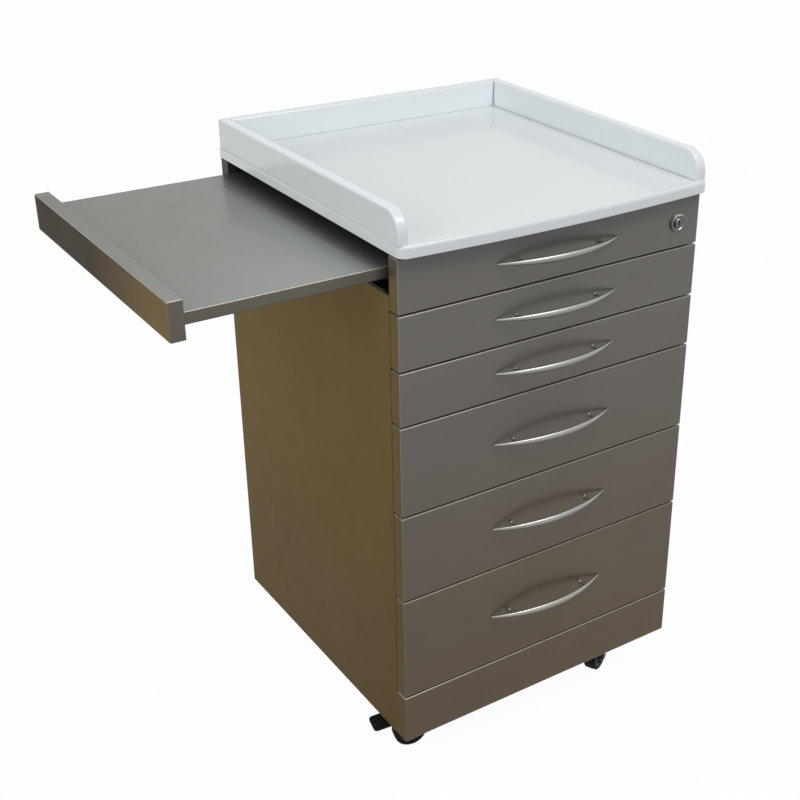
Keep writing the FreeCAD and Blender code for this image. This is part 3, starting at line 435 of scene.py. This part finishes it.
def metalFinish(name, colour, roughness, brush, undersideShade=1.0, depth=0.00001, turn=(-0.45, 0.35)):
    # plated metal with fine brush lines along one axis, slightly dull patches and painted shade on
    # the underside: the colour darkens as the surface turns down between two slopes
    finish = Finish(name, Metallic=1.0)
    stretch = tuple(0.03 if axis == brush else 1.0 for axis in "xyz")
    lines = finish.noise(2400.0, 2.0, 0.6, stretch)
    dull = finish.ramp(finish.noise(60.0, 4.0, 0.6), 0.4, 0.8)
    darker = tuple(c * 0.80 for c in colour)
    bright = finish.blend(0.55 * lines + 0.35 * dull, colour, darker)
    shadedColour = tuple(c * undersideShade for c in colour)
    finish.feed("Base Color", finish.blend(finish.ramp(finish.facing("Z"), *turn), shadedColour, bright))
    finish.feed("Roughness", roughness + 0.10 * dull + 0.06 * lines)
    finish.bump(lines, 0.3, depth)
    return finish.material


def zincFinish(name):
    # zinc plate with small bright and dull crystals
    finish = Finish(name, Metallic=1.0)
    crystal = finish.node("ShaderNodeSeparateColor", None, {"Color": finish.cells(420.0)}, "Green")
    stain = finish.ramp(finish.noise(45.0, 4.0, 0.65), 0.45, 0.8)
    spangle = 0.4 * crystal + 0.3 * stain
    finish.feed("Base Color", finish.blend(spangle, (0.50, 0.51, 0.53), (0.38, 0.39, 0.41)))
    finish.feed("Roughness", 0.32 + 0.10 * crystal + 0.10 * stain)
    finish.bump(finish.noise(700.0, 2.0), 0.2, 0.00001)
    return finish.material


def coatedFinish(name, colour):
    # satin powder coat: a fine pebbled skin with small rubbed places
    finish = Finish(name, Specular_IOR_Level=0.45)
    wearAndHighlight = finish.ramp(finish.noise(30.0, 5.0, 0.6), 0.55, 0.8)
    darker = tuple(c * 0.86 for c in colour)
    finish.feed("Base Color", finish.blend(0.5 * wearAndHighlight + 0.3 * finish.noise(8.0), colour, darker))
    finish.feed("Roughness", 0.48 - 0.12 * wearAndHighlight)
    finish.bump(finish.noise(900.0, 2.0), 0.35, 0.00003)
    return finish.material


def rubberFinish(name):
    # black rubber with grey dust in the pores
    finish = Finish(name, Specular_IOR_Level=0.12)
    dust = finish.ramp(finish.noise(120.0, 5.0, 0.65), 0.5, 0.85)
    finish.feed("Base Color", finish.blend(0.6 * dust, (0.005, 0.005, 0.005), (0.022, 0.021, 0.019)))
    finish.feed("Roughness", 0.62 + 0.25 * dust)
    finish.bump(finish.noise(1200.0, 3.0), 0.4, 0.00005)
    return finish.material


def plasticFinish(name, colour, gloss=0.45):
    # moulded plastic with a fine spark-eroded grain
    finish = Finish(name, Specular_IOR_Level=gloss)
    worn = finish.ramp(finish.noise(70.0, 4.0, 0.6), 0.5, 0.8)
    lighter = tuple(min(1.0, c * 1.7 + 0.005) for c in colour)
    finish.feed("Base Color", finish.blend(0.5 * worn, colour, lighter))
    finish.feed("Roughness", 0.42 + 0.15 * worn)
    finish.bump(finish.noise(1500.0, 2.0), 0.35, 0.00004)
    return finish.material


# the front paint turns browner and darker towards the bottom: a painted reflection of the floor
upwards = ((0, 0, 1), 0.1, 0.65)
# below the slab a third tone comes in: on the fronts a darker one, the slab's painted shadow, and on faces
# that look left a greyer one, also painted light
underSlabPaintedTone = ((0, 0, 1), 0.765, 0.797)
frontPaint = {"coat": 0.22, "roughness": 0.36, "tint": (0.8, 0.78, 0.75)}
frontTones = ((89, 73, 52), (107, 104, 100))
# a much paler copy of the front paint for faces that look up: a painted highlight along the gaps between the
# fronts
topHighlightTone = (150, 146, 140)
shelfTone = (98, 92, 81)
frontEnamel = enamelFinish(
    "frontEnamel", frontTones, upwards, **frontPaint, band=(*underSlabPaintedTone, (98, 96, 95)), crestHighlight=0.22
)
# the plinth's up-facing fold gets a stronger painted highlight
plinthEnamel = enamelFinish("plinthEnamel", frontTones, upwards, **frontPaint, crestHighlight=0.65)
crestEnamel = enamelFinish(
    "crestEnamel", (topHighlightTone, topHighlightTone), upwards, coat=0.2, roughness=0.36, tint=frontPaint["tint"]
)
# the shelf's front-facing paint darkens towards the carcass along x, painted shade by the opening, with a
# painted highlight on folds that face up
shelfEnamel = enamelFinish(
    "shelfEnamel",
    (shelfTone, shelfTone),
    upwards,
    **frontPaint,
    band=((1, 0, 0), -0.33, -0.28, (85, 80, 70)),
    crestHighlight=0.5,
)
# faces that look left get a shaded, browner copy of the enamel with little gloss: painted shade and painted
# reflection
leftPaint = {"coat": 0.03, "roughness": 0.38, "tint": (0.35, 0.31, 0.24), "gloss": 0.12}
flangeEnamel = enamelFinish(
    "flangeEnamel",
    ((93, 78, 49), (109, 91, 61)),
    upwards,
    **leftPaint,
    band=(*underSlabPaintedTone, (110, 105, 99)),
    crestHighlight=0.5,
)
# the end board's left face: painted reflection, dark at the rear and golden at the front, in large clouds
boardEnamel = enamelFinish(
    "boardEnamel", ((51, 41, 12), (116, 96, 56)), ((0, -1, 0), -0.02, 0.18), **leftPaint, cloud=14.0
)
# the sides and back are painted olive-brown, lighter towards the top and the rear: a painted reflection
sidePaint = {"coat": 0.03, "roughness": 0.38, "tint": (0.40, 0.32, 0.16), "gloss": 0.12}
sideReflectionTones = ((93, 75, 38), (121, 102, 61))
sideDrift = ((0, 0.5, 1), 0.0, 0.85)
sideEnamel = enamelFinish("sideEnamel", sideReflectionTones, sideDrift, **sidePaint)
# on the left side, from the opening's lower edge up, the rear post is painted grey: painted shade
openingEnamel = enamelFinish(
    "openingEnamel", sideReflectionTones, sideDrift, **sidePaint, band=((0, 0, 1), 0.744, 0.746, (84, 86, 85))
)
# a lighter copy for faces of the shelf that look up: painted light, growing towards the front and the
# carcass, and painted shade on the part inside the carcass
deckEnamel = enamelFinish(
    "deckEnamel",
    ((107, 110, 104), (149, 152, 148)),
    ((1, -1.2, 0), -0.72, -0.05),
    coat=0.2,
    roughness=0.30,
    tint=(0.6, 0.6, 0.58),
    gloss=0.3,
    band=((1, 0, 0), -0.285, -0.225, (84, 86, 81)),
)
# upright faces of the white parts are painted lighter than level ones
laminate = (0.82, 0.87, 0.90)
whiteGloss = whiteFinish("whiteGloss", laminate, (0.75, 0.79, 0.82))
whiteSlab = whiteFinish("whiteSlab", laminate, (0.70, 0.735, 0.755))
# handles: painted shade on their undersides
satinNickel = metalFinish("satinNickel", (0.42, 0.41, 0.38), 0.26, "x", 0.22)
# lock: painted shade on all but its upward faces, which keep a painted highlight
chrome = metalFinish("lockChrome", (0.72, 0.71, 0.69), 0.14, "z", 0.17, 0.000004, (0.25, 0.75))
zinc = zincFinish("zincPlate")
boxCoat = coatedFinish("boxCoat", (0.52, 0.52, 0.50))
# a near-black coat: painted shade for parts inside the carcass and for the slab's underside
darkCoat = coatedFinish("darkCoat", (0.022, 0.022, 0.020))
castorBlack = coatedFinish("castorBlack", (0.012, 0.012, 0.012))
blackRubber = rubberFinish("blackRubber")
blackPlastic = plasticFinish("blackPlastic", (0.008, 0.008, 0.009), 0.2)
greyPlastic = plasticFinish("greyPlastic", (0.018, 0.018, 0.018), 0.2)
darkSlot = plasticFinish("darkSlot", (0.006, 0.006, 0.006))
sealant = plasticFinish("sealant", (0.48, 0.50, 0.52))
print("finishes made")


# carcass and worktop

frontFace = {
    "edgeRadius": 2.0 * mm,
    "skin": 1.5 * mm,
}

fronts = [("plinth_panel", "carcass", plinthEnamel)]
fronts += [(f"drawer_{drawer}_front", f"drawer_{drawer}", frontEnamel) for drawer in range(1, 7)]
for name, body, finish in fronts:
    low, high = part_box(name)
    radius = frontFace["edgeRadius"]
    profile = panProfile(low.y, high.y, radius, frontFace["skin"])
    pan = Skin().grid(ringLoft((low.x, low.z), (high.x, high.z), [radius] * 4, profile, "xzy"))
    # faces that look left get the painted-shade copy, faces that look up the painted-highlight copy
    pan.build(
        name.replace("_", "") + "Skin",
        body,
        finish,
        "painted_steel",
        [name],
        others=[(flangeEnamel, (-1, 0, 0)), (crestEnamel, (0, 0, 1))],
    )

worktop = {
    "upperRadius": 4.5 * mm,
    "lowerRadius": 1.0 * mm,
    "frontBow": 10.0 * mm,
    "frontCorner": 12.0 * mm,
    "rimRadius": 3.0 * mm,
    "noseRadius": 30.0 * mm,
    "squareCorner": 0.6 * mm,
    # a rim's foot: how high its rounding reaches, and the share of that height that is left
    "footRise": 3.9 * mm,
    "footShare": 0.05,
    "bead": 0.88 * mm,
    "beadStart": 6.0 * mm,
    "beadTop": 3.0 * mm,
}

low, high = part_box("tray_slab")
corners = [worktop["squareCorner"]] * 2 + [worktop["frontCorner"]] * 2
profile = boardProfile(low.z, high.z, worktop["lowerRadius"], 7, endRadius=worktop["upperRadius"])
slab = Skin().grid(bowedLoft(low, high, corners, profile, worktop["frontBow"]))
# the slab's underside gets the near-black coat: painted shade
slab.build("traySlabTop", "carcass", whiteSlab, "white_gloss", ["tray_slab"], others=[(darkCoat, (0, 0, -1))])


def pressedFoot(points, foot):
    # flattens the rounding along the foot of a rim, which stands on the tray floor
    rise = points[..., 2] - foot
    points[..., 2] = foot + rise * np.where(rise < worktop["footRise"], worktop["footShare"], 1)
    return points


for side in ("left", "right"):
    low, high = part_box(f"gallery_{side}")
    small = worktop["squareCorner"]
    corners = [worktop["rimRadius"], worktop["noseRadius"], small, small]
    profile = boardProfile(low.x, high.x, worktop["rimRadius"], 6)
    rail = ringLoft((low.y, low.z), (high.y, high.z), corners, profile, "yzx", 14)
    rail = Skin().grid(pressedFoot(rail, low.z))
    rail.build(f"{side}Rim", "carcass", whiteGloss, "white_gloss", [f"gallery_{side}"])
low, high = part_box("gallery_rear")
profile = boardProfile(low.y, high.y, worktop["rimRadius"], 6)
rail = ringLoft((low.x, low.z), (high.x, high.z), [worktop["squareCorner"]] * 4, profile, "xzy")
rail = Skin().grid(pressedFoot(rail, low.z))
rail.build("rearRim", "carcass", whiteGloss, "white_gloss", ["gallery_rear"])


def beadAlong(start, end, radius, steps=12):
    # a round bead of sealant pressed into a corner: a thin closed tube from start to end
    angle = np.linspace(0, 2 * np.pi, steps, endpoint=False)
    along = Vector(end) - Vector(start)
    aside = Vector((0, 0, 1)) if abs(along.z) < 1e-6 else Vector((1, 0, 0))
    across = along.normalized().cross(aside)
    ring = np.cos(angle)[:, None] * np.array(across) + np.sin(angle)[:, None] * np.array(aside)
    ends = np.stack([np.array(start), np.array(end)])
    return ends[:, None, :] + radius * ring[None]


# sealant along the three inner corners of the tray and up its two rear corners
leftLow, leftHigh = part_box("gallery_left")
rightLow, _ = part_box("gallery_right")
rearLow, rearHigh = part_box("gallery_rear")
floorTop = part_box("tray_slab")[1].z
nearEnd = leftLow.y + worktop["beadStart"]
beadTop = rearHigh.z - worktop["beadTop"]
beads = Skin()
for start, end in (
    ((leftHigh.x, nearEnd, floorTop), (leftHigh.x, rearLow.y, floorTop)),
    ((rightLow.x, nearEnd, floorTop), (rightLow.x, rearLow.y, floorTop)),
    ((leftHigh.x, rearLow.y, floorTop), (rightLow.x, rearLow.y, floorTop)),
    ((leftHigh.x, rearLow.y, floorTop), (leftHigh.x, rearLow.y, beadTop)),
    ((rightLow.x, rearLow.y, floorTop), (rightLow.x, rearLow.y, beadTop)),
):
    beads.grid(beadAlong(start, end, worktop["bead"]))
beads.build("cornerSealant", "carcass", sealant, "white_gloss")
print("fronts and worktop made")


# pull-out shelf

shelf = {
    "boardRadius": 2.0 * mm,
    "skin": 1.5 * mm,
    "deckRadius": 2.0 * mm,
}

low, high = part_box("shelf_end_board")
profile = panProfile(low.x, high.x, shelf["boardRadius"], shelf["skin"])
board = Skin().grid(ringLoft((low.y, low.z), (high.y, high.z), [shelf["boardRadius"]] * 4, profile, "yzx"))
# the board's left face gets the painted reflection, its top the lighter painted deck tone
board.build(
    "shelfEndSkin",
    "shelf",
    shelfEnamel,
    "painted_steel",
    ["shelf_end_board"],
    others=[(boardEnamel, (-1, 0, 0)), (deckEnamel, (0, 0, 1))],
)


def tubeDeck(low, high, radius, skin, steps=6):
    # a flat tube along x: its outer outline at both ends, then its inner one, to be looped
    outer, inner = (
        roundedOutline((low.y, low.z), (high.y, high.z), [radius] * 4, inset, steps) for inset in (0.0, skin)
    )
    rings = np.stack([outer, outer, inner, inner])
    place = np.array([low.x, high.x, high.x, low.x])[:, None]
    return turnedTo("yzx", rings[..., 0], rings[..., 1], np.broadcast_to(place, rings.shape[:2]))


low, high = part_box("shelf_deck")
deck = Skin().grid(tubeDeck(low, high, shelf["deckRadius"], shelf["skin"]), loop=True)
# the deck's top gets the lighter painted tone
deck.build(
    "shelfDeckTube",
    "shelf",
    shelfEnamel,
    "painted_steel",
    ["shelf_deck"],
    others=[(deckEnamel, (0, 0, 1))],
)
print("shelf made")


# bow handles

handle = {
    "tipGap": 0.6 * mm,
    "middle": (10.0 * mm, 6.5 * mm),
    "tip": (2.2 * mm, 1.2 * mm),
    "pitch": 128.0 * mm,
    "postRadius": 3.0 * mm,
    # a slim waist, then a foot as wide as the screw boss: shares of the radius, and mm in front of the face
    "foot": ((0.75, 2.6), (0.84, 1.4), (1.0, 0.7), (1.0, 0.0)),
    "stations": 57,
    "steps": 20,
    "sharp": 40,
}


def bowSkin(half, reach, frontY, middleZ):
    # a circular arc in plan through both tips: at each station an ellipse across the arc,
    # which shrinks from the middle to the tips with the square of the distance
    tipReach = handle["tipGap"] + handle["tip"][1] / 2
    rise = reach - tipReach
    arc = (half ** 2 + rise ** 2) / (2 * rise)
    share = np.sin(np.linspace(-np.pi / 2, np.pi / 2, handle["stations"]))
    x = share * half
    arcY = frontY - reach + arc
    outward = np.stack([x / arc, -np.sqrt(1 - (x / arc) ** 2), np.zeros_like(x)], -1)
    centre = np.array([0, arcY, middleZ]) + arc * outward
    swell = (1 - share ** 2)[:, None, None]
    sizes = zip(handle["middle"], handle["tip"])
    tall, thick = ((tip + (middle - tip) * swell) / 2 for middle, tip in sizes)
    angle = np.linspace(0, 2 * np.pi, handle["steps"], endpoint=False)[None, :, None]
    return (
        centre[:, None, :]
        + thick * np.cos(angle) * outward[:, None, :]
        + tall * np.sin(angle) * np.array([0, 0, 1.0])
    ), arc


def bowHeight(x, arc, reach):
    return reach - arc + math.sqrt(arc ** 2 - x ** 2)


for drawer in range(1, 7):
    low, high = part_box(f"drawer_{drawer}_handle")
    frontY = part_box(f"drawer_{drawer}_front")[0].y
    middleZ = (low.z + high.z) / 2
    reach = frontY - low.y - handle["middle"][1] / 2
    bow, arc = bowSkin(high.x, reach, frontY, middleZ)
    pull = Skin().grid(bow)
    for side in (-1, 1):
        x = side * handle["pitch"] / 2
        post = bowHeight(x, arc, reach)
        profile = [(handle["postRadius"] * width, post - back * mm) for width, back in handle["foot"]]
        pull.grid(lathe([(profile[0][0], 0), *profile], (x, frontY - post, middleZ), "y", handle["steps"]))
    pull.build(
        f"bowHandle{drawer}",
        f"drawer_{drawer}",
        satinNickel,
        "satin_handle",
        [f"drawer_{drawer}_handle"],
        handle["sharp"],
    )
print("handles made")


# lock

lock = {
    "plugRadius": 6.5 * mm,
    "barrelRadius": 9.0 * mm,
    # the rosette, in mm: distance inside its rim, and distance in front of the drawer's face
    "rosette": (
        (0.2, 0.0), (0.0, 0.4), (0.0, 1.6), (0.5, 2.7), (1.6, 3.6), (2.8, 4.0), (3.8, 3.7), (4.3, 3.1)
    ),
    # the mouth of the bore, in mm: distance round the plug, and distance in front of the face
    "mouth": ((0.9, 2.9), (0.3, 2.7), (0.1, 2.2)),
    "play": 0.1 * mm,
    "slot": (1.9 * mm, 8.0 * mm),
    "slotCorner": 0.5 * mm,
    "slotDepth": 8.0 * mm,
    "shadeStart": 1.2 * mm,
    "faceRound": 0.35 * mm,
    "steps": 64,
    "sharp": 25,
}

low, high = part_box("lock_housing")
lockX, lockZ = (low.x + high.x) / 2, (low.z + high.z) / 2
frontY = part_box("drawer_1_front")[0].y
rosette = (high.x - low.x) / 2
barrelEnd = high.y - frontY
# round the ring, back down the bore and along the barrel to the drawer's face
profile = [
    *((rosette - inside * mm, out * mm) for inside, out in lock["rosette"]),
    *((lock["plugRadius"] + gap * mm, out * mm) for gap, out in lock["mouth"]),
    (lock["plugRadius"] + lock["play"], -barrelEnd),
    (lock["barrelRadius"], -barrelEnd),
    (lock["barrelRadius"], 0),
]
ring = Skin().grid(lathe(profile, (lockX, frontY, lockZ), "y", lock["steps"], -1), loop=True)
ring.build("lockRing", "drawer_1", chrome, "lock_chrome", ["lock_housing"], lock["sharp"])


def slotOutline(steps):
    half = [size / 2 for size in lock["slot"]]
    return roundedOutline([-size for size in half], half, [lock["slotCorner"]] * 4, 0.0, steps)


def slottedFace(length, steps=12):
    # a plug seen from its face: a circle's rim runs in to the slot's outline and down its walls,
    # at distances behind the face
    angle = np.linspace(0, 2 * np.pi, 4 * steps, endpoint=False) + np.pi / 4 / steps
    circle = np.stack([np.cos(angle), np.sin(angle)], -1)
    mouth = slotOutline(steps)
    flat = lock["plugRadius"] - lock["faceRound"]
    stages = [
        (lock["plugRadius"] * circle, length),
        (lock["plugRadius"] * circle, lock["faceRound"]),
        (flat * circle, 0.0),
        (0.5 * (flat * circle + mouth), 0.15 * mm),
        (1.08 * mouth, 0.15 * mm),
        (mouth, 0.3 * mm),
        (mouth, lock["slotDepth"]),
    ]
    rings = np.stack([ring for ring, _ in stages])
    behind = np.array([depth for _, depth in stages])[:, None]
    return turnedTo("xzy", rings[..., 0], rings[..., 1], np.broadcast_to(behind, rings.shape[:2]))


plugLow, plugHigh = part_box("lock_plug")
plugFace = np.array([lockX, plugLow.y, lockZ])
plug = Skin().grid(slottedFace(plugHigh.y - plugLow.y) + plugFace)
plug.build("lockPlugFace", "lock", chrome, "lock_chrome", ["lock_plug"], lock["sharp"])
shade = np.stack([slotOutline(7)] * 2)
behind = np.array([lock["shadeStart"], lock["slotDepth"]])[:, None]
shade = turnedTo("xzy", shade[..., 0], shade[..., 1], np.broadcast_to(behind, shade.shape[:2]))
keyWay = Skin().grid(shade + plugFace)
keyWay.build("keyWayShade", "lock", darkSlot, "castor_plastic")
print("lock made")


# castors

castor = {
    "wheelRadius": 25.0 * mm,
    "tyreDepth": 7.0 * mm,
    "wheelHalf": 10.0 * mm,
    "shoulder": 2.6 * mm,
    # the crown and one groove, in mm: depth under the tread, and distance from the middle
    "tread": ((0.0, 2.4), (0.1, 4.4), (0.9, 4.7), (0.9, 5.4), (0.15, 5.7)),
    "crown": 0.25 * mm,
    "bead": (1.0 * mm, 0.6 * mm),
    "hubHalf": 10.7 * mm,
    "axleHole": 4.05 * mm,
    # the hub's boss and then its dished web, in mm: radius, and depth under the boss or the tyre's side
    "boss": ((7.4, 0.0), (8.0, 0.6)),
    "web": ((8.4, 3.6), (10.5, 4.2), (14.6, 3.6), (15.4, 1.2), (16.0, 0.7)),
    "rimDepth": 0.7 * mm,
    "steps": 64,
    "sharp": 35,
    "plateReach": 17.5 * mm,
    "plateRise": 2.5 * mm,
    "kneeReach": 48.5 * mm,
    "kneeHeight": 54.0 * mm,
    "treadSlope": 3.5 / 31.5,
}
joints = {joint["name"]: joint for joint in frame["joints"]}


def tyreProfile():
    # half section of a tyre, turned round the axle: a low crown, round shoulders and two grooves
    outer, half, shoulder = castor["wheelRadius"], castor["wheelHalf"], castor["shoulder"]
    inner = outer - castor["tyreDepth"]
    out, back = outer - castor["crown"] - shoulder, half - shoulder
    beadOut, beadIn = castor["bead"]
    turn = np.linspace(0, np.pi / 2, 6)
    right = [
        *((outer - depth * mm, aside * mm) for depth, aside in castor["tread"]),
        *((out + shoulder * math.cos(t), back + shoulder * math.sin(t)) for t in turn),
        (inner + beadOut, half),
        (inner, half - beadIn),
    ]
    left = [(radius, -aside) for radius, aside in right]
    return left[::-1] + right


def hubProfile():
    # a hub with a raised boss, a dished web and a rim under the tyre, turned round the axle
    rim, half, boss = castor["wheelRadius"] - castor["tyreDepth"], castor["wheelHalf"], castor["hubHalf"]
    right = [
        (castor["axleHole"], boss),
        *((radius * mm, boss - depth * mm) for radius, depth in castor["boss"]),
        *((radius * mm, half - depth * mm) for radius, depth in castor["web"]),
        (rim, half - castor["rimDepth"]),
    ]
    left = [(radius, -aside) for radius, aside in right]
    return right + left[::-1]


rib = {
    "reach": [place * mm for place in (55.0, 60.0, 65.0, 70.0, 74.5)],
    "half": (1.1 * mm, 13.0 * mm),
    "sunk": 1.0 * mm,
    "proud": 0.7 * mm,
    "round": 0.5 * mm,
    "flat": 0.05 * mm,
    "corner": 1.0 * mm,
}


def treadRib(reach):
    # a low rib across the sloping tread of a pedal, at a distance from the castor's pivot
    treadZ = castor["kneeHeight"] - castor["treadSlope"] * (reach - castor["kneeReach"])
    profile = boardProfile(treadZ - rib["sunk"], treadZ + rib["proud"], rib["round"], 4, rib["flat"])
    long, wide = rib["half"]
    return ringLoft((reach - long, -wide), (reach + long, wide), [rib["corner"]] * 4, profile, "xyz", 4)


for corner in ("fl", "fr", "rl", "rr"):
    spin = joints[f"wheel_{corner}_spin"]
    axle = Vector(spin["axis"])
    heading = math.degrees(math.atan2(-axle.x, axle.y))
    for name, profile, finish, slot in (
        ("tyre", tyreProfile(), blackRubber, "tyre"),
        ("hub", hubProfile(), greyPlastic, "castor_plastic"),
    ):
        wheel = lathe(profile, (0, 0, 0), "y", castor["steps"])
        piece = Skin().grid(turnedBy(wheel, heading, spin["pos_m"]), loop=True)
        replaced = [f"castor_wheel_{corner}"] if name == "tyre" else ()
        piece.build(f"{name}_{corner}", f"wheel_{corner}", finish, slot, replaced, castor["sharp"])
    if f"brake_{corner}_press" in joints:
        pivot = joints[f"castor_{corner}_swivel"]["pos_m"]
        ribs = Skin()
        for reach in rib["reach"]:
            ribs.grid(turnedBy(treadRib(reach), heading, (pivot[0], pivot[1], 0)))
        ribs.build(f"pedalRibs_{corner}", f"pedal_{corner}", blackPlastic, "castor_plastic")

screw = {
    "radius": 3.8 * mm,
    "height": 2.4 * mm,
    # flat under side, domed rim and a round recess: shares of the radius and of the height
    "head": ((1.0, 0.0), (1.0, 0.35), (0.93, 0.65), (0.78, 0.88), (0.5, 1.0), (0.42, 0.96), (0.36, 0.4)),
    "frameInset": 15.0 * mm,
    "steps": 24,
}


def screwHead(x, y, top):
    # a pan head that hangs from a face
    profile = [(screw["radius"] * wide, screw["height"] * deep) for wide, deep in screw["head"]]
    return lathe(profile, (x, y, top), "z", screw["steps"], -1)


heads = Skin()
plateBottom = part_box("castor_plates")[1].z - castor["plateRise"]
for corner in ("fl", "fr", "rl", "rr"):
    x, y, _ = joints[f"castor_{corner}_swivel"]["pos_m"]
    for across in (-castor["plateReach"], castor["plateReach"]):
        for back in (-castor["plateReach"], castor["plateReach"]):
            heads.grid(screwHead(x + across, y + back, plateBottom))
low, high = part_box("top_frame")
for x in (low.x + screw["frameInset"], high.x - screw["frameInset"]):
    for share in (1, 3, 5):
        heads.grid(screwHead(x, low.y + share * (high.y - low.y) / 6, low.z))
heads.build("screwHeads", "carcass", zinc, "screws", ["carcass_screws"])
print("castors and screws made")


# rubber buffers on the backs of the drawer fronts

buffer = {
    "radius": 4.0 * mm,
    "height": 1.3 * mm,
    # shares of the radius and of the height
    "dome": ((1.0, 0.0), (0.95, 0.5), (0.75, 0.85), (0.4, 1.0), (0.1, 1.0)),
    "fromSide": 8.0 * mm,
    "fromEnd": 12.0 * mm,
    "steps": 20,
}
dome = [(buffer["radius"] * wide, buffer["height"] * deep) for wide, deep in buffer["dome"]]

for drawer in range(1, 7):
    low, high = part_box(f"drawer_{drawer}_front")
    dots = Skin()
    for x in (low.x + buffer["fromSide"], high.x - buffer["fromSide"]):
        for z in (low.z + buffer["fromEnd"], high.z - buffer["fromEnd"]):
            dots.grid(lathe(dome, (x, high.y, z), "y", buffer["steps"]))
    dots.build(f"bufferDots{drawer}", f"drawer_{drawer}", greyPlastic, "castor_plastic")


# finishes of the pieces that keep their own shape

finishOf = {
    # side panels and back panel carry the olive-brown painted reflection
    "side_panel_left": (openingEnamel, 0.7),
    "side_panel_right": (sideEnamel, 0.7),
    "back_panel": (sideEnamel, 0.7),
    "base_pan": (boxCoat, 0.5),
    # the top frame, runner uprights, shelf rails and runners are painted near-black: painted shade inside the
    # carcass
    "top_frame": (darkCoat, 0.4),
    "runner_uprights": (darkCoat, 0.4),
    "drawer_runners_fixed": (zinc, 0.3),
    "shelf_rails": (darkCoat, 0.4),
    "shelf_runners_fixed": (darkCoat, 0.3),
    "shelf_runners_moving": (darkCoat, 0.3),
    "shelf_end_cover": (boxCoat, 0.3),
    "lock_catch": (zinc, 0.3),
    "lock_nut": (zinc, 0.4),
    "lock_cam": (zinc, 0.4),
    "castor_plates": (zinc, 0.4),
}
for drawer in range(1, 7):
    finishOf[f"drawer_{drawer}_box"] = (boxCoat, 0.35)
    finishOf[f"drawer_{drawer}_runners"] = (zinc, 0.3)
for corner in ("fl", "fr", "rl", "rr"):
    finishOf[f"castor_fork_{corner}"] = (castorBlack, 0.35)
    if f"brake_{corner}_press" in joints:
        finishOf[f"brake_pedal_{corner}"] = (blackPlastic, 0.6)


def softEdges(piece, width):
    # breaks the sharp folds of a sheet piece so that they catch the light
    weld = piece.modifiers.new("weld", "WELD")
    weld.merge_threshold = 0.00002
    bevel = piece.modifiers.new("softEdge", "BEVEL")
    bevel.width = width
    bevel.segments = 2
    bevel.limit_method = "ANGLE"
    bevel.angle_limit = math.radians(40)


for name, (finish, width) in finishOf.items():
    piece = nodes[name]
    for place in piece.material_slots:
        place.material = finish
    softEdges(piece, width * mm)
print("finishes set")


# floor, light and camera

stage = {
    "halfSize": 20.0,
    "shadowShare": 0.03,
    "floorColour": 0.40,
    "ambient": 0.36,
    "leftLight": 32.0,
    "frontLight": 54.0,
}

# a pale floor: white to the camera and in reflections with a faint shadow, grey to the light
paleFloor = bpy.data.materials.new("paleFloor")
floorNodes = Nodes(paleFloor)
whiteShare = floorNodes.whiteRays()
grey = (stage["floorColour"],) * 3
matt = floorNodes.node(
    "ShaderNodeBsdfDiffuse", None, {"Color": floorNodes.blend(whiteShare, grey, (1.0, 1.0, 1.0))}
)
glow = floorNodes.node("ShaderNodeEmission", None, {"Color": (1.0, 1.0, 1.0)})
mixed = floorNodes.node(
    "ShaderNodeMixShader", None, {0: whiteShare * (1 - stage["shadowShare"]), 1: matt, 2: glow}
)
floorNodes.node("ShaderNodeOutputMaterial", None, {"Surface": mixed}, None)

reach = stage["halfSize"]
corners = [(-reach, -reach, 0), (reach, -reach, 0), (reach, reach, 0), (-reach, reach, 0)]
floorMesh = bpy.data.meshes.new("studioFloor")
floorMesh.from_pydata(corners, [], [(0, 1, 2, 3)])
floorMesh.materials.append(paleFloor)
floor = bpy.data.objects.new("studioFloor", floorMesh)
bpy.context.scene.collection.objects.link(floor)

world = bpy.data.worlds.new("paleRoom")
bpy.context.scene.world = world
worldNodes = Nodes(world)
strength = stage["ambient"] + (1 - stage["ambient"]) * worldNodes.whiteRays()
sky = worldNodes.node("ShaderNodeBackground", None, {"Color": (1.0, 1.0, 1.0), "Strength": strength})
worldNodes.node("ShaderNodeOutputWorld", None, {"Surface": sky}, None)


def softLamp(name, place, aim, size, watts):
    # a square soft box at a place, facing a point
    lamp = bpy.data.lights.new(name, "AREA")
    lamp.shape = "RECTANGLE"
    lamp.size, lamp.size_y = size
    lamp.energy = watts
    holder = bpy.data.objects.new(name, lamp)
    holder.location = place
    holder.rotation_euler = (Vector(aim) - Vector(place)).to_track_quat("-Z", "Y").to_euler()
    bpy.context.scene.collection.objects.link(holder)


softLamp("leftBox", (-2.8, -0.6, 2.0), (0, 0, 0.5), (1.8, 1.8), stage["leftLight"])
softLamp("frontBox", (0.6, -1.6, 3.4), (0, 0, 0.6), (1.6, 1.6), stage["frontLight"])

view = {
    "place": (-0.9880, -1.4992, 1.3506),
    "turn": 35.312,
    "tilt": 26.631,
    "roll": 0.938,
    "lens": 1325.75 / 800 * 36.0,
    "shift": (-93.52 / 800, -2.42 / 800),
}
turn, tilt, roll = (math.radians(view[name]) for name in ("turn", "tilt", "roll"))
ahead = Vector((math.sin(turn) * math.cos(tilt), math.cos(turn) * math.cos(tilt), -math.sin(tilt)))
level = Vector((math.cos(turn), -math.sin(turn), 0))
upright = level.cross(ahead)
right = level * math.cos(roll) + upright * math.sin(roll)
up = upright * math.cos(roll) - level * math.sin(roll)
cameraData = bpy.data.cameras.new("mainView")
cameraData.sensor_width = 36.0
cameraData.lens = view["lens"]
cameraData.shift_x, cameraData.shift_y = view["shift"]
cameraData.clip_end = 100
camera = bpy.data.objects.new("mainView", cameraData)
camera.matrix_world = Matrix.Translation(view["place"]) @ Matrix((right, up, -ahead)).transposed().to_4x4()
bpy.context.scene.collection.objects.link(camera)
bpy.context.scene.camera = camera
bpy.context.scene.view_settings.view_transform = "Standard"
print("stage, light and camera set")
